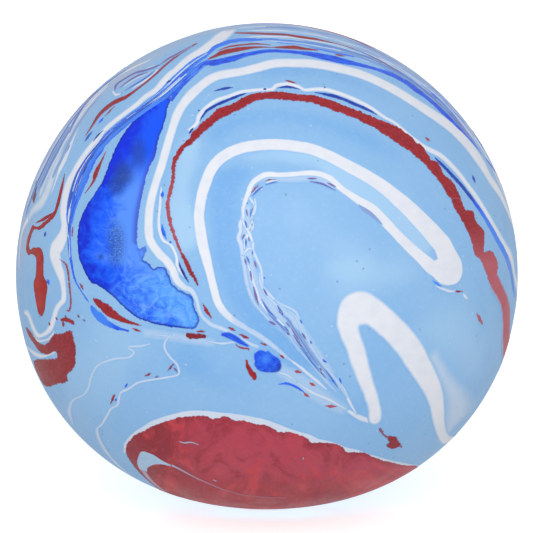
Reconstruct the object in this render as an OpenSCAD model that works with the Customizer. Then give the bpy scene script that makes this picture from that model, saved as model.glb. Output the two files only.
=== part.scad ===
// Soft marbled squeeze ball: a hollow skin of stretchy rubber, coloured streaks let into it,
// a gel filling, and a glued plug in the hole that the gel was poured through.
// The origin is the middle of the flat patch that the ball rests on, +Z is up, and -Y is the front.

/* [Ball] */
// Diameter of the ball across its widest part
ball_d = 70; // [50:1:110]
// How far the ball settles under its own weight
sag = 3.6; // [1.5:0.1:5]
// Diameter of the flat patch that the ball rests on
rest_d = 12.4; // [8:0.2:18]
// Angle at which the skin rises from the flat patch, in degrees
rest_angle = 3; // [1:0.5:6]
// Thickness of the rubber skin
skin_t = 2.4; // [1.8:0.1:4]

/* [Marbling] */
// Depth of the coloured rubber in the skin
streak_depth = 1.2; // [0.4:0.1:1.5]
// Height from which the marbling is drawn, in degrees above level
view_tilt = 15; // [5:1:25]

/* [Fill plug] */
// Diameter of the hole that the filling goes through
fill_hole_d = 6; // [4:0.5:9]
// Diameter of the plug's head inside the skin
plug_head_d = 10.5; // [10:0.5:16]
// Thickness of the plug's head
plug_head_t = 1.2; // [0.6:0.1:2.5]
// Thickness of the ring of glue round the plug
glue_t = 0.3; // [0.2:0.05:0.6]
// Angle of the plug's axis below level, in degrees
plug_drop = 14; // [0:1:18]

/* [Hidden] */
$fn = 96;
ball_r = ball_d / 2;
rest_r = rest_d / 2;
centre_z = ball_r - sag;
// The heel is the rounding between the flat patch and the round of the ball. It leaves the patch at
// rest_angle and meets the round all but tangent, reaching heel_proud past it.
heel_proud = 0.02;
heel_far = ball_r + heel_proud;
heel_r = (heel_far * heel_far - rest_r * rest_r - centre_z * centre_z)
    / (2 * (heel_far - centre_z * cos(rest_angle) - rest_r * sin(rest_angle)));
heel_x = rest_r - heel_r * sin(rest_angle);
heel_z = heel_r * cos(rest_angle);
// Streak outlines are cut out to this radius, clear of the ball
cut_r = ball_r * 1.3;
// Stations between two drawn points of a streak
path_steps = 3;

base_blue = [0.57, 0.77, 0.94];
streak_white = [0.92, 0.93, 0.96];
streak_red = [0.66, 0.12, 0.18];
streak_blue = [0.08, 0.25, 0.80];
gel_clear = [0.86, 0.90, 0.93];
plug_blue = [0.50, 0.70, 0.88];
glue_clear = [0.88, 0.86, 0.78];

// Each streak is drawn as it is seen from the front or the back, as a list of points
// [right, up, half width] measured from the ball's middle, at a scale where the ball's radius is drawing_r.
drawing_r = 100;
white_outer_ribbon_path = [
    [88, 43, 2.2], [80, 53, 2.2], [70, 62.5, 2], [60, 69, 1.9], [50, 75, 1.9], [40, 79, 1.9], [30, 82, 1.9],
    [20, 83.5, 2], [10, 84, 2], [0, 83.5, 2], [-10, 81, 1.9], [-20, 78, 1.7], [-31, 70.5, 1.7],
    [-36, 60, 1.4], [-39, 50, 1.4], [-42.5, 40, 1.4], [-45.5, 30, 1.3], [-47, 22, 1.5], [-46, 14, 1.5],
    [-42.5, 8, 1.4], [-37.5, 4, 1.3], [-35, -1, 1.2], [-31, -5, 1], [-28, -9, 0.8]
];
white_arch_line_path = [
    [-25, 66, 0.7], [-20, 69.5, 0.8], [-10, 73.5, 0.8], [0, 75, 0.8], [8, 76, 0.8], [20, 74.5, 0.8],
    [30, 72, 0.8], [40, 67.5, 0.8], [50, 62.5, 0.8], [58, 57.5, 0.8], [66, 50.5, 0.8], [74, 43, 0.8],
    [82, 32.5, 0.8], [88, 22.5, 0.9], [92, 14, 1]
];
red_arch_path = [
    [-28, -3, 0.6], [-32, 4, 0.9], [-36, 14, 0.7], [-39, 22, 0.8], [-39, 30, 0.9], [-37, 41, 0.9],
    [-33, 50, 0.9], [-26, 58.5, 1.2], [-18, 64, 2], [-9, 69, 1.5], [0, 71, 1.4], [10, 71, 1.6],
    [20, 69.5, 1.6], [30, 66.5, 1.5], [40, 62, 1.5], [51, 56, 2.2], [61, 48.5, 2], [67, 41.5, 1.8],
    [73, 34, 2.2], [77, 26.5, 2], [82, 18, 3], [85.5, 8, 2.6], [90, 0, 4.6], [93, -12, 3], [93.5, -24, 4],
    [92.5, -33, 1.5]
];
white_inner_hairpin_path = [
    [0, -27, 0.9], [-10, -20, 1.1], [-16, -16, 1.2], [-20, -9, 1.3], [-22.5, 0, 1.3], [-24.5, 10, 1.5],
    [-27, 20, 1.7], [-27, 30, 1.8], [-22.5, 40, 2], [-14, 48, 2.2], [-5, 51, 2.3], [5, 52, 2.4],
    [15, 51, 2.5], [25, 47.5, 2.6], [36, 41, 2.9], [47, 34.5, 3.1], [57, 25.5, 3.2], [67, 15.5, 3.2],
    [72.5, 9, 3], [74, 3, 2.8], [71.5, -1, 2.6], [67, 1.5, 2.6], [60, 8.5, 2.2], [50, 18, 1.8],
    [40, 28, 1.4], [30, 35.5, 1.3], [20, 40, 1.1], [10, 39.5, 1], [0, 40, 1], [-6, 36, 0.9],
    [-8.5, 29, 0.8], [-10.5, 20, 0.8], [-9.5, 10, 0.8], [-8.5, 0, 0.9], [-6, -8, 0.9], [-1, -15.5, 0.8],
    [6, -22.5, 0.7]
];
white_lower_hairpin_path = [
    [43.5, -58, 1.6], [42, -50, 2.1], [38.5, -40, 2.8], [35.5, -30, 3.1], [33, -22, 3.3],
    [33.5, -14.5, 3.8], [38, -11.5, 4.3], [44, -15.5, 4.6], [51, -22.5, 4.6], [57.5, -31, 4.3], [61.5, -38.5, 3.8],
    [65, -46, 3.2], [67.5, -55, 2.4], [69, -61, 2]
];
white_left_line_path = [
    [-19, 94, 1.4], [-30, 86, 1.3], [-40, 78, 1.3], [-50, 69.5, 1.2], [-60, 61.5, 1.2], [-69, 53, 1.2],
    [-75, 45, 1.4], [-79, 35, 1.6], [-80.5, 25, 1.7], [-81.5, 16, 2], [-84, 8.5, 3.2], [-82, 1, 2],
    [-81, -7, 1.8], [-83, -14, 1.6], [-84.5, -18, 1]
];
white_lobe_rim_path = [
    [-56, -66, 0.8], [-50, -60.5, 0.9], [-40, -56, 1], [-27, -53.5, 1], [-13, -54.5, 1], [0, -57.5, 1],
    [10, -61.5, 1], [20, -65, 1], [31, -68, 0.9], [42, -71.5, 0.8]
];
red_bottom_lobe_path = [
    [-53, -70, 3], [-46, -74, 13], [-35, -78, 22], [-20, -80, 31], [-4, -81, 29], [12, -82, 23],
    [28, -84, 18], [42, -82.5, 11], [54, -78, 4]
];
red_left_patch_path = [
    [-79.5, -23.5, 2.5], [-80.5, -29, 5], [-82.5, -35, 7], [-84, -40.5, 5.5], [-86.5, -45, 2]
];
red_left_drop_path = [
    [-91.5, 8.5, 3], [-91, 3, 4], [-91, -2, 5], [-90.5, -8, 6], [-90, -13, 5], [-89.5, -17, 2.5]
];
red_shoulder_streak_path = [
    [-72, 56, 0.6], [-68, 62, 1.2], [-64, 67, 1.3], [-58, 70, 1.5], [-52, 74, 1.2], [-46, 79, 1.1],
    [-40, 84, 1]
];
red_pool_dash_path = [
    [-71, 34, 0.6], [-69, 38, 1.1], [-67.5, 41.5, 1.2], [-65.5, 45.5, 0.8], [-64, 49, 0.5]
];
red_pool_sliver_path = [
    [-68.5, -10, 0.8], [-65.5, -12, 1.5], [-61.5, -15, 1.6], [-57.5, -17.5, 1], [-53, -19.5, 0.6]
];
red_crown_line_path = [[-12, 95, 1.2], [3, 94, 1.6], [18, 92, 1.6], [30, 89.5, 1]];
red_spot_path = [[45.5, -62.5, 0.8], [48, -65, 1.4], [50.5, -67, 2.4], [53, -68.5, 1.2]];
blue_pool_path = [
    [-36.5, 73.5, 1], [-42, 68, 2.6], [-49, 57, 6.4], [-53, 48, 7.4], [-57, 38, 8], [-60, 30, 9.4],
    [-63, 22, 11], [-63.5, 14, 11.5], [-61.5, 6, 11.5], [-57, -1.5, 10.8], [-50, -7.5, 9.5], [-42, -12, 8],
    [-35, -15, 5.5], [-30, -16.5, 3.5]
];
blue_pool_sliver_path = [
    [-70, -12.5, 0.6], [-68.5, -15, 1.3], [-66, -18, 1.2], [-62, -20.5, 0.8], [-57, -22, 0.6]
];
blue_top_band_path = [
    [-27, 82.5, 1], [-20, 85, 1.4], [-10, 87, 1.8], [0, 89, 2], [10, 88.5, 2], [20, 87, 1.8],
    [30, 85.5, 1.8], [40, 83, 1.8], [50, 79, 1.8], [60, 73, 1.8], [70, 65, 1.5], [77, 57.5, 1]
];
blue_arch_line_path = [
    [67, 46.5, 0.6], [72, 41.5, 0.8], [76, 36.5, 0.9], [80.5, 30, 0.9], [85, 23.5, 1], [89.5, 14.5, 1.2]
];
blue_left_streak_path = [
    [-60, 57.5, 0.8], [-66, 51.5, 1.2], [-70.5, 44.5, 1.4], [-73.5, 37, 1.5], [-76, 29, 1.2],
    [-77.5, 21, 0.8]
];
blue_spot_path = [[-5, -33.5, 2], [-2, -34.5, 4.2], [1.5, -35, 4.4], [5.5, -35.5, 1.8]];

white_back_ribbon_path = [
    [-84, 44, 1.2], [-70, 54, 1.6], [-52, 62, 1.8], [-32, 66, 2], [-10, 64, 2], [10, 56, 2],
    [28, 44, 2], [42, 30, 2], [50, 14, 2], [50, -2, 2], [42, -16, 1.8], [30, -26, 1.4]
];
white_back_hairpin_path = [
    [-64, -40, 1.4], [-62, -26, 2], [-54, -12, 2.4], [-42, 0, 2.6], [-28, 9, 3], [-17, 12, 3.2],
    [-11, 6, 3.2], [-15, -3, 2.8], [-26, -12, 2.2], [-36, -24, 1.8], [-42, -38, 1.2]
];
red_back_arch_path = [
    [-80, 34, 1], [-66, 44, 1.8], [-48, 51, 2.4], [-30, 53, 2.8], [-12, 50, 2.4], [4, 42, 2],
    [18, 30, 1.6], [28, 16, 1]
];
red_back_patch_path = [[58, -34, 2], [62, -42, 6], [63, -52, 8], [58, -61, 6], [51, -67, 2]];
blue_back_pool_path = [
    [62, 52, 1.5], [68, 42, 5], [72, 30, 8], [74, 16, 9], [73, 2, 7.5], [69, -10, 4], [64, -18, 1.5]
];
blue_back_streak_path = [
    [-20, 84, 1], [0, 83, 2.4], [18, 78, 2.8], [34, 70, 2.2], [46, 61, 1.2]
];

front = 0;
back = 180;
// Every streak with the side that it is drawn from
STREAKS = [
    [white_outer_ribbon_path, front], [white_arch_line_path, front], [white_inner_hairpin_path, front],
    [white_lower_hairpin_path, front], [white_left_line_path, front], [white_lobe_rim_path, front],
    [red_arch_path, front], [red_bottom_lobe_path, front], [red_left_patch_path, front],
    [red_left_drop_path, front], [red_shoulder_streak_path, front], [red_pool_dash_path, front],
    [red_pool_sliver_path, front], [red_crown_line_path, front], [red_spot_path, front],
    [blue_pool_path, front], [blue_pool_sliver_path, front], [blue_top_band_path, front],
    [blue_arch_line_path, front], [blue_left_streak_path, front], [blue_spot_path, front],
    [white_back_ribbon_path, back], [white_back_hairpin_path, back], [red_back_arch_path, back],
    [red_back_patch_path, back], [blue_back_pool_path, back], [blue_back_streak_path, back]
];

// Direction from the ball's middle to a drawn point, with its half width carried along
function aim(p, side) =
    let (
        right = p[0] / drawing_r,
        up = p[1] / drawing_r,
        near = sqrt(max(0, 1 - right * right - up * up)),
        y = up * sin(view_tilt) - near * cos(view_tilt),
        z = up * cos(view_tilt) + near * sin(view_tilt)
    )
    [right * cos(side) - y * sin(side), right * sin(side) + y * cos(side), z, p[2] / drawing_r];

// Smooth curve through p1 and p2, with p0 before them and p3 after
function between(p0, p1, p2, p3, t) =
    (2 * p1 + (p2 - p0) * t + (2 * p0 - 5 * p1 + 4 * p2 - p3) * t * t
        + (3 * p1 - p0 - 3 * p2 + p3) * t * t * t) / 2;

function smooth(keys) =
    let (last = len(keys) - 1)
    [
        for (i = [0 : last - 1])
            for (k = [0 : path_steps - 1])
                between(keys[max(i - 1, 0)], keys[i], keys[i + 1], keys[min(i + 2, last)], k / path_steps),
        keys[last]
    ];

function unit(v) = v / norm(v);
function heading(p) = unit([p[0], p[1], p[2]]);

// Left and right edges of a streak, as pairs of directions from the ball's middle
function edges(path) =
    let (last = len(path) - 1, mid = [for (p = path) heading(p)])
    [
        for (i = [0 : last])
            let (
                along = mid[min(i + 1, last)] - mid[max(i - 1, 0)],
                across = unit(cross(mid[i], along)) * path[i][3]
            )
            [unit(mid[i] + across), unit(mid[i] - across)]
    ];

// Wedge from the ball's middle out through a streak's outline
module wedge(path, side) {
    pairs = edges(smooth([for (p = path) aim(p, side)]));
    last = len(pairs) - 1;
    outer = [for (pair = pairs) each [pair[0] * cut_r, pair[1] * cut_r]];
    // Points alternate left and right, after the apex
    left = [for (i = [0 : last]) 1 + 2 * i];
    right = [for (i = [0 : last]) 2 + 2 * i];
    translate([0, 0, centre_z])
        polyhedron(
            points = concat([[0, 0, 0]], outer),
            faces = concat(
                [for (i = [0 : last - 1]) [left[i], left[i + 1], right[i + 1]]],
                [for (i = [0 : last - 1]) [left[i], right[i + 1], right[i]]],
                [for (i = [0 : last - 1]) [0, left[i + 1], left[i]]],
                [for (i = [0 : last - 1]) [0, right[i], right[i + 1]]],
                [[0, left[0], right[0]], [0, right[last], left[last]]]
            )
        );
}

// Right half of the ball's section, drawn in by an inset all round
module half_section(inset) {
    reach = 4 * ball_d;
    middle = [0, centre_z];
    heel = [heel_x, heel_z];
    // Beyond this line, which runs out through both centres, the round of the ball takes over
    parting = (heel - middle) / norm(heel - middle) * reach;
    intersection() {
        translate(middle) circle(ball_r - inset);
        translate([0, inset]) square(reach);
        union() {
            translate(heel) circle(heel_r - inset);
            polygon([[0, -reach], [heel_x, -reach], heel, heel + parting, [reach, reach], [0, reach]]);
        }
    }
}

// The ball's outer form, drawn in by an inset, with its seam at the back
module ball(inset) {
    rotate([0, 0, 90])
        rotate_extrude()
            half_section(inset);
}

// Pocket in the skin that a streak fills
module pocket(path, side) {
    difference() {
        wedge(path, side);
        ball(streak_depth);
    }
}

module streak(path, side) {
    intersection() {
        ball(0);
        pocket(path, side);
    }
}

// Rod from the ball's middle out along the plug's axis, at the back
module plug_rod(d) {
    translate([0, 0, centre_z])
        rotate([-90 - plug_drop, 0, 0])
            cylinder(h = cut_r, d = d);
}

module skin() {
    color(base_blue)
        difference() {
            ball(0);
            ball(skin_t);
            plug_rod(fill_hole_d);
            for (s = STREAKS)
                pocket(s[0], s[1]);
        }
}

module gel_filling() {
    color(gel_clear)
        difference() {
            ball(skin_t);
            difference() {
                plug_rod(plug_head_d);
                ball(skin_t + plug_head_t);
            }
        }
}

// The stem fills the hole inside the glue and is trimmed to the round of the ball
module fill_plug() {
    color(plug_blue)
        difference() {
            union() {
                intersection() {
                    ball(0);
                    plug_rod(fill_hole_d - 2 * glue_t);
                }
                intersection() {
                    ball(skin_t);
                    plug_rod(plug_head_d);
                }
            }
            ball(skin_t + plug_head_t);
        }
}

module plug_glue() {
    color(glue_clear)
        difference() {
            intersection() {
                ball(0);
                plug_rod(fill_hole_d);
            }
            ball(skin_t);
            plug_rod(fill_hole_d - 2 * glue_t);
        }
}

module white_outer_ribbon() { color(streak_white) streak(white_outer_ribbon_path, front); }
module white_arch_line() { color(streak_white) streak(white_arch_line_path, front); }
module white_inner_hairpin() { color(streak_white) streak(white_inner_hairpin_path, front); }
module white_lower_hairpin() { color(streak_white) streak(white_lower_hairpin_path, front); }
module white_left_line() { color(streak_white) streak(white_left_line_path, front); }
module white_lobe_rim() { color(streak_white) streak(white_lobe_rim_path, front); }
module red_arch() { color(streak_red) streak(red_arch_path, front); }
module red_bottom_lobe() { color(streak_red) streak(red_bottom_lobe_path, front); }
module red_left_patch() { color(streak_red) streak(red_left_patch_path, front); }
module red_left_drop() { color(streak_red) streak(red_left_drop_path, front); }
module red_shoulder_streak() { color(streak_red) streak(red_shoulder_streak_path, front); }
module red_pool_dash() { color(streak_red) streak(red_pool_dash_path, front); }
module red_pool_sliver() { color(streak_red) streak(red_pool_sliver_path, front); }
module red_crown_line() { color(streak_red) streak(red_crown_line_path, front); }
module red_spot() { color(streak_red) streak(red_spot_path, front); }
module blue_pool() { color(streak_blue) streak(blue_pool_path, front); }
module blue_pool_sliver() { color(streak_blue) streak(blue_pool_sliver_path, front); }
module blue_top_band() { color(streak_blue) streak(blue_top_band_path, front); }
module blue_arch_line() { color(streak_blue) streak(blue_arch_line_path, front); }
module blue_left_streak() { color(streak_blue) streak(blue_left_streak_path, front); }
module blue_spot() { color(streak_blue) streak(blue_spot_path, front); }
module white_back_ribbon() { color(streak_white) streak(white_back_ribbon_path, back); }
module white_back_hairpin() { color(streak_white) streak(white_back_hairpin_path, back); }
module red_back_arch() { color(streak_red) streak(red_back_arch_path, back); }
module red_back_patch() { color(streak_red) streak(red_back_patch_path, back); }
module blue_back_pool() { color(streak_blue) streak(blue_back_pool_path, back); }
module blue_back_streak() { color(streak_blue) streak(blue_back_streak_path, back); }

skin();
gel_filling();
fill_plug();
plug_glue();
white_outer_ribbon();
white_arch_line();
white_inner_hairpin();
white_lower_hairpin();
white_left_line();
white_lobe_rim();
red_arch();
red_bottom_lobe();
red_left_patch();
red_left_drop();
red_shoulder_streak();
red_pool_dash();
red_pool_sliver();
red_crown_line();
red_spot();
blue_pool();
blue_pool_sliver();
blue_top_band();
blue_arch_line();
blue_left_streak();
blue_spot();
white_back_ribbon();
white_back_hairpin();
red_back_arch();
red_back_patch();
blue_back_pool();
blue_back_streak();
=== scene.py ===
import math

import bpy
import numpy as np
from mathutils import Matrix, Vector
from mathutils.geometry import delaunay_2d_cdt


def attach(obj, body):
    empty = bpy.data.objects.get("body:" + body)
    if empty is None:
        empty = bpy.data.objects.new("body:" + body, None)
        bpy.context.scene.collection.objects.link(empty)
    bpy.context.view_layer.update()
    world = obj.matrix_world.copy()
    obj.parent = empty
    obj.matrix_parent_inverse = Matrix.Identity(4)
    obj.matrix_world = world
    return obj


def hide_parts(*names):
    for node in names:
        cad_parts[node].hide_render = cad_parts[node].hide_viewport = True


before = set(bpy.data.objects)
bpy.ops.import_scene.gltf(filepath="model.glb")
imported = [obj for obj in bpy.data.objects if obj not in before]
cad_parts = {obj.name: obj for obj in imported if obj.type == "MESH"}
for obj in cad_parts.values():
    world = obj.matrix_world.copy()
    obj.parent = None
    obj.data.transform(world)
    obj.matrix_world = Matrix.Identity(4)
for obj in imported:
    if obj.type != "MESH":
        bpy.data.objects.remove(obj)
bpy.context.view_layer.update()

# Skin
# The ball itself: one hollow moulding of soft light-blue rubber with a filling hole low at the back.
# It slumps under its own weight, so it stands on a small flat patch with a rounded heel.
MM, TINY = 0.001, 1e-9
ball_r, sag, rest_r, skin_t = 35 * MM, 3.6 * MM, 6.2 * MM, 2.4 * MM
rest_angle, heel_proud = math.radians(3), 0.02 * MM
hole_r, plug_drop = 3 * MM, math.radians(14)
middle = np.array([0, 0, ball_r - sag])
heel_far = ball_r + heel_proud
heel_r = (heel_far**2 - rest_r**2 - middle[2]**2) / (
    2 * (heel_far - middle[2] * math.cos(rest_angle) - rest_r * math.sin(rest_angle)))
heel_x, heel_z = rest_r - heel_r * math.sin(rest_angle), heel_r * math.cos(rest_angle)


def reach(toward):
    """Distance from the ball's middle to its surface along unit vectors."""
    level, climb = np.hypot(toward[..., 0], toward[..., 1]), toward[..., 2]
    off_x, off_z = -heel_x, middle[2] - heel_z
    along = level * off_x + climb * off_z
    heel = -along + np.sqrt(np.maximum(along**2 - (off_x**2 + off_z**2 - heel_r**2), 0))
    on_heel = (climb * heel_x < level * (heel_z - middle[2])) & (level * heel > heel_x)
    flat = np.where(climb < 0, middle[2] / np.maximum(-climb, TINY), ball_r)
    return np.minimum(np.minimum(flat, ball_r), np.where(on_heel, heel, ball_r))


plug_axis = np.array([0, math.cos(plug_drop), -math.sin(plug_drop)])
plug_side = np.array([1.0, 0, 0])
plug_up = np.cross(plug_axis, plug_side)


def spokes_round(count):
    turn = np.arange(count)[:, None] * 2 * math.pi / count
    return np.cos(turn) * plug_side + np.sin(turn) * plug_up


def shell(rings, spokes, inset, edge_r):
    """Rings of points on the ball's surface, from a hole round the plug's axis to the far pole."""
    swing = np.linspace(math.asin(edge_r / (ball_r - inset)), math.pi, rings + 1)[:-1, None, None]
    toward = np.cos(swing) * plug_axis + np.sin(swing) * spokes_round(spokes)
    points = middle + toward * (reach(toward) - inset)[..., None]
    return points.reshape(-1, 3), middle - plug_axis * (ball_r - inset)


def ring_faces(rings, spokes, first, flip=False):
    """Quads between neighbouring rings of points."""
    faces = []
    for i in range(rings - 1):
        for j in range(spokes):
            k = (j + 1) % spokes
            a, b = first + i * spokes, first + (i + 1) * spokes
            quad = (a + j, b + j, b + k, a + k)
            faces.append(quad[::-1] if flip else quad)
    return faces


def fan_faces(ring, tip, spokes, flip=False):
    faces = [(ring + j, tip, ring + (j + 1) % spokes) for j in range(spokes)]
    return [f[::-1] for f in faces] if flip else faces


def new_object(name, data):
    """A new object in the scene."""
    made = bpy.data.objects.new(name, data)
    bpy.context.scene.collection.objects.link(made)
    return made


def piece(name, points, faces, finish):
    """A smooth mesh object at the origin, with one material."""
    mesh = bpy.data.meshes.new(name)
    mesh.from_pydata([tuple(p) for p in points], [], faces)
    mesh.polygons.foreach_set("use_smooth", [True] * len(mesh.polygons))
    mesh.materials.append(finish)
    mesh.update()
    return new_object(name, mesh)


def settle(made, slot, *nodes):
    """Attaches a finished piece to the ball's root and hides the solids that it stands for."""
    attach(made, "root")
    if nodes:
        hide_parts(*nodes)


def paint(red, green, blue):
    """Linear colour of a paint chip given in display values from 0 to 255."""
    chip = [v / 255 for v in (red, green, blue)]
    return [v / 12.92 if v < 0.04045 else ((v + 0.055) / 1.055) ** 2.4 for v in chip] + [1.0]


def feed(tree, node, inputs):
    """Gives a node its inputs, as links or as fixed values."""
    for socket, value in inputs.items():
        if isinstance(value, bpy.types.NodeSocket):
            tree.links.new(value, node.inputs[socket])
        else:
            node.inputs[socket].default_value = value
    return node


def add(tree, kind, inputs=None, **settings):
    """Adds a node with its settings and its inputs."""
    made = tree.nodes.new(kind)
    for name, value in settings.items():
        setattr(made, name, value)
    return feed(tree, made, inputs or {})


def new_finish(name):
    """A new material, with its node tree and its shader."""
    finish = bpy.data.materials.new(name)
    finish.use_nodes = True
    return finish, finish.node_tree, finish.node_tree.nodes["Principled BSDF"]


def blend(tree, amount, under, over):
    return add(tree, "ShaderNodeMix", {0: amount, 6: under, 7: over}, data_type="RGBA").outputs[2]


def rise(tree, value, low, high, start=0.0, stop=1.0):
    """Smooth step from start to stop as a value goes from low to high."""
    return add(tree, "ShaderNodeMapRange", {"Value": value, "From Min": low, "From Max": high,
               "To Min": start, "To Max": stop}, interpolation_type="SMOOTHSTEP").outputs["Result"]


def maths(tree, operation, a, b):
    return add(tree, "ShaderNodeMath", {0: a, 1: b}, operation=operation).outputs[0]


def times(tree, a, b):
    return maths(tree, "MULTIPLY", a, b)


def ridge(tree, value, crest):
    """How far a value is from the crest of a ridge."""
    return maths(tree, "ABSOLUTE", maths(tree, "SUBTRACT", value, crest), 0.0)


def noise(tree, where, scale, detail=2.0, rough=0.5, warp=0.0):
    return add(tree, "ShaderNodeTexNoise", {"Vector": where, "Scale": scale, "Detail": detail,
               "Roughness": rough, "Distortion": warp}).outputs[0]


# Light blue that is deeper or paler in broad washes, with a painted grey shade and sheen along the front outline, a
# fine mottle, and stray dark and pale grains of pigment
skin_tone = bpy.data.node_groups.new("skin_tone", "ShaderNodeTree")
skin_tone.interface.new_socket("Colour", in_out="OUTPUT", socket_type="NodeSocketColor")
where = add(skin_tone, "ShaderNodeTexCoord").outputs["Object"]
wash = add(skin_tone, "ShaderNodeAttribute", attribute_name="wash").outputs["Fac"]
mottle = rise(skin_tone, noise(skin_tone, where, 60, 2, 0.5, 0.8), 0.3, 0.7, -0.25, 0.25)
wash = maths(skin_tone, "ADD", wash, mottle)
tone = blend(skin_tone, rise(skin_tone, wash, -1, 0), paint(120, 176, 232), paint(140, 188, 234))
tone = blend(skin_tone, rise(skin_tone, wash, 0, 1), tone, paint(166, 206, 242))
# Painted shade and sheen: a greyed blue laid along the front outline, where the ball turns away from the eye
painted_edge_grey = add(skin_tone, "ShaderNodeAttribute", attribute_name="painted_edge_grey").outputs["Fac"]
haze = rise(skin_tone, noise(skin_tone, where, 130, 3, 0.6, 0.6), 0.3, 0.7, 0.35, 0.9)
tone = blend(skin_tone, times(skin_tone, painted_edge_grey, haze), tone, paint(176, 188, 214))
tone = blend(skin_tone, rise(skin_tone, noise(skin_tone, where, 1500, 3, 0.6), 0.45, 0.8, 0, 0.2),
             tone, paint(176, 212, 246))
grains = add(skin_tone, "ShaderNodeTexVoronoi", {"Vector": where, "Scale": 1150.0})
kind = add(skin_tone, "ShaderNodeSeparateColor", {0: grains.outputs["Color"]})
dot = rise(skin_tone, grains.outputs["Distance"], 0.26, 0.12)
dark = times(skin_tone, dot, rise(skin_tone, kind.outputs[0], 0.94, 0.97, 0, 0.5))
pale = times(skin_tone, dot, rise(skin_tone, kind.outputs[1], 0.93, 0.97, 0, 0.3))
tone = blend(skin_tone, dark, tone, paint(88, 112, 165))
tone = blend(skin_tone, pale, tone, paint(225, 232, 245))
add(skin_tone, "NodeGroupOutput", {"Colour": tone})

# Satin moulded rubber: an uneven gloss, a fine tooth, and a very shallow orange peel
rubber_grain = bpy.data.node_groups.new("rubber_grain", "ShaderNodeTree")
rubber_grain.interface.new_socket("Roughness", in_out="OUTPUT", socket_type="NodeSocketFloat")
rubber_grain.interface.new_socket("Normal", in_out="OUTPUT", socket_type="NodeSocketVector")
where = add(rubber_grain, "ShaderNodeTexCoord").outputs["Object"]
gloss = rise(rubber_grain, noise(rubber_grain, where, 260, 3, 0.6), 0.3, 0.7, 0.40, 0.54)
peel = add(rubber_grain, "ShaderNodeBump", {"Strength": 0.10, "Distance": 0.0004,
           "Height": noise(rubber_grain, where, 210, 2, 0.5)})
tooth = add(rubber_grain, "ShaderNodeBump", {"Strength": 0.12, "Distance": 0.00005,
            "Height": noise(rubber_grain, where, 3200, 2, 0.6), "Normal": peel.outputs[0]})
add(rubber_grain, "NodeGroupOutput", {"Roughness": gloss, "Normal": tooth.outputs[0]})
RUBBER_IOR, FULL_SHEEN = 1.42, 0.5


def rubber(name, tone_of, sheen=FULL_SHEEN):
    """A satin rubber whose colour comes from a function that adds its nodes."""
    finish, tree, shader = new_finish(name)
    grain = add(tree, "ShaderNodeGroup", node_tree=rubber_grain)
    feed(tree, shader, {"Base Color": tone_of(tree), "Roughness": grain.outputs["Roughness"],
                        "Normal": grain.outputs["Normal"], "IOR": RUBBER_IOR, "Specular IOR Level": sheen})
    return finish


def base_tone(tree):
    return add(tree, "ShaderNodeGroup", node_tree=skin_tone).outputs["Colour"]


SPOKES = 288
OUT_RINGS, IN_RINGS = 190, 40
outer, outer_pole = shell(OUT_RINGS, SPOKES, 0, hole_r)
inner, inner_pole = shell(IN_RINGS, SPOKES, skin_t, hole_r)
inner_first = len(outer)
poles_first = inner_first + len(inner)
hole_wall = [(j, (j + 1) % SPOKES, inner_first + (j + 1) % SPOKES, inner_first + j) for j in range(SPOKES)]
skin = piece("rubber_skin", np.concatenate([outer, inner, [outer_pole, inner_pole]]),
             ring_faces(OUT_RINGS, SPOKES, 0) + ring_faces(IN_RINGS, SPOKES, inner_first, True) + hole_wall
             + fan_faces((OUT_RINGS - 1) * SPOKES, poles_first, SPOKES)
             + fan_faces(inner_first + (IN_RINGS - 1) * SPOKES, poles_first + 1, SPOKES, True),
             rubber("light_blue_rubber", base_tone))
view_tilt = math.radians(15)
# Broad washes of deeper and paler blue under the turn of the side that they are seen from, and a painted grey shade
# and sheen along the front outline, as
# [strength, reach, points right and up], in hundredths of the ball's radius
WASHES = {0: (
    (-0.9, 6, ((-12, 40), (-16, 34), (-17, 22), (-15, 8), (-11, -5), (-4, -15), (6, -26), (14, -34))),
    (-0.8, 6, ((-20, 55), (-10, 60), (5, 62), (22, 59), (38, 53), (48, 47))),
    (-0.5, 7, ((-30, -33), (-22, -42), (-10, -44))), (-0.5, 5, ((25, -42), (34, -52))),
    (-0.5, 4, ((-20, 82), (0, 79), (25, 78), (45, 70))),
    (0.9, 6, ((-30, 50), (-33, 38), (-34, 26), (-31, 14))), (0.8, 4, ((-14, 44), (0, 46), (18, 45), (34, 37))),
    (1.4, 6, ((30, 38), (46, 28), (60, 14))), (0.5, 14, ((16, 24), (26, 10), (34, 8))),
    (0.4, 12, ((62, -8), (72, -22), (82, -32))), (0.3, 16, ((-58, -28), (-74, -38), (-84, -40))),
    (0.35, 9, ((50, 46), (66, 32), (82, 12))), (0.4, 8, ((52, 4), (46, -4), (32, -2)))),
    180: ((-0.9, 6, ((-60, 50), (-34, 59), (-8, 57), (16, 46), (36, 28), (42, 8))),
          (0.9, 6, ((-60, 36), (-36, 44), (-12, 41), (8, 30))), (-0.7, 8, ((-40, -14), (-28, -2), (-18, 2))),
          (0.7, 9, ((-6, -14), (16, -8), (30, 4))), (-0.7, 8, ((-30, -60), (0, -68), (30, -56)))),
    90: ((0.8, 7, ((5, 10), (16, -4), (26, -20), (44, -26))), (-0.8, 8, ((4, -50), (26, -56), (50, -62))),
         (-0.6, 7, ((30, 30), (44, 14), (60, 8)))),
    -90: ((0.8, 8, ((-30, 40), (-34, 18), (-36, -6))), (-0.8, 8, ((-14, 44), (-14, 22), (-10, 0))),
          (-0.7, 9, ((-50, -50), (-24, -54), (0, -60))))}
# Painted grey shade and sheen that follows the front outline, where the ball turns away from the eye
PAINTED_EDGE_GREYS = {0: (
    (1.0, 14, ((-58, 79), (-70, 69), (-80, 57), (-88, 44), (-94, 30), (-97, 16))),
    (0.9, 12, ((-50, 85), (-30, 94.5), (-10, 98.8), (10, 98.9), (30, 94.8), (50, 85.8), (66, 74), (80, 59),
               (92, 38))))}
WASH_REACH = 3  # where a wash has faded out, in times its reach


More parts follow.
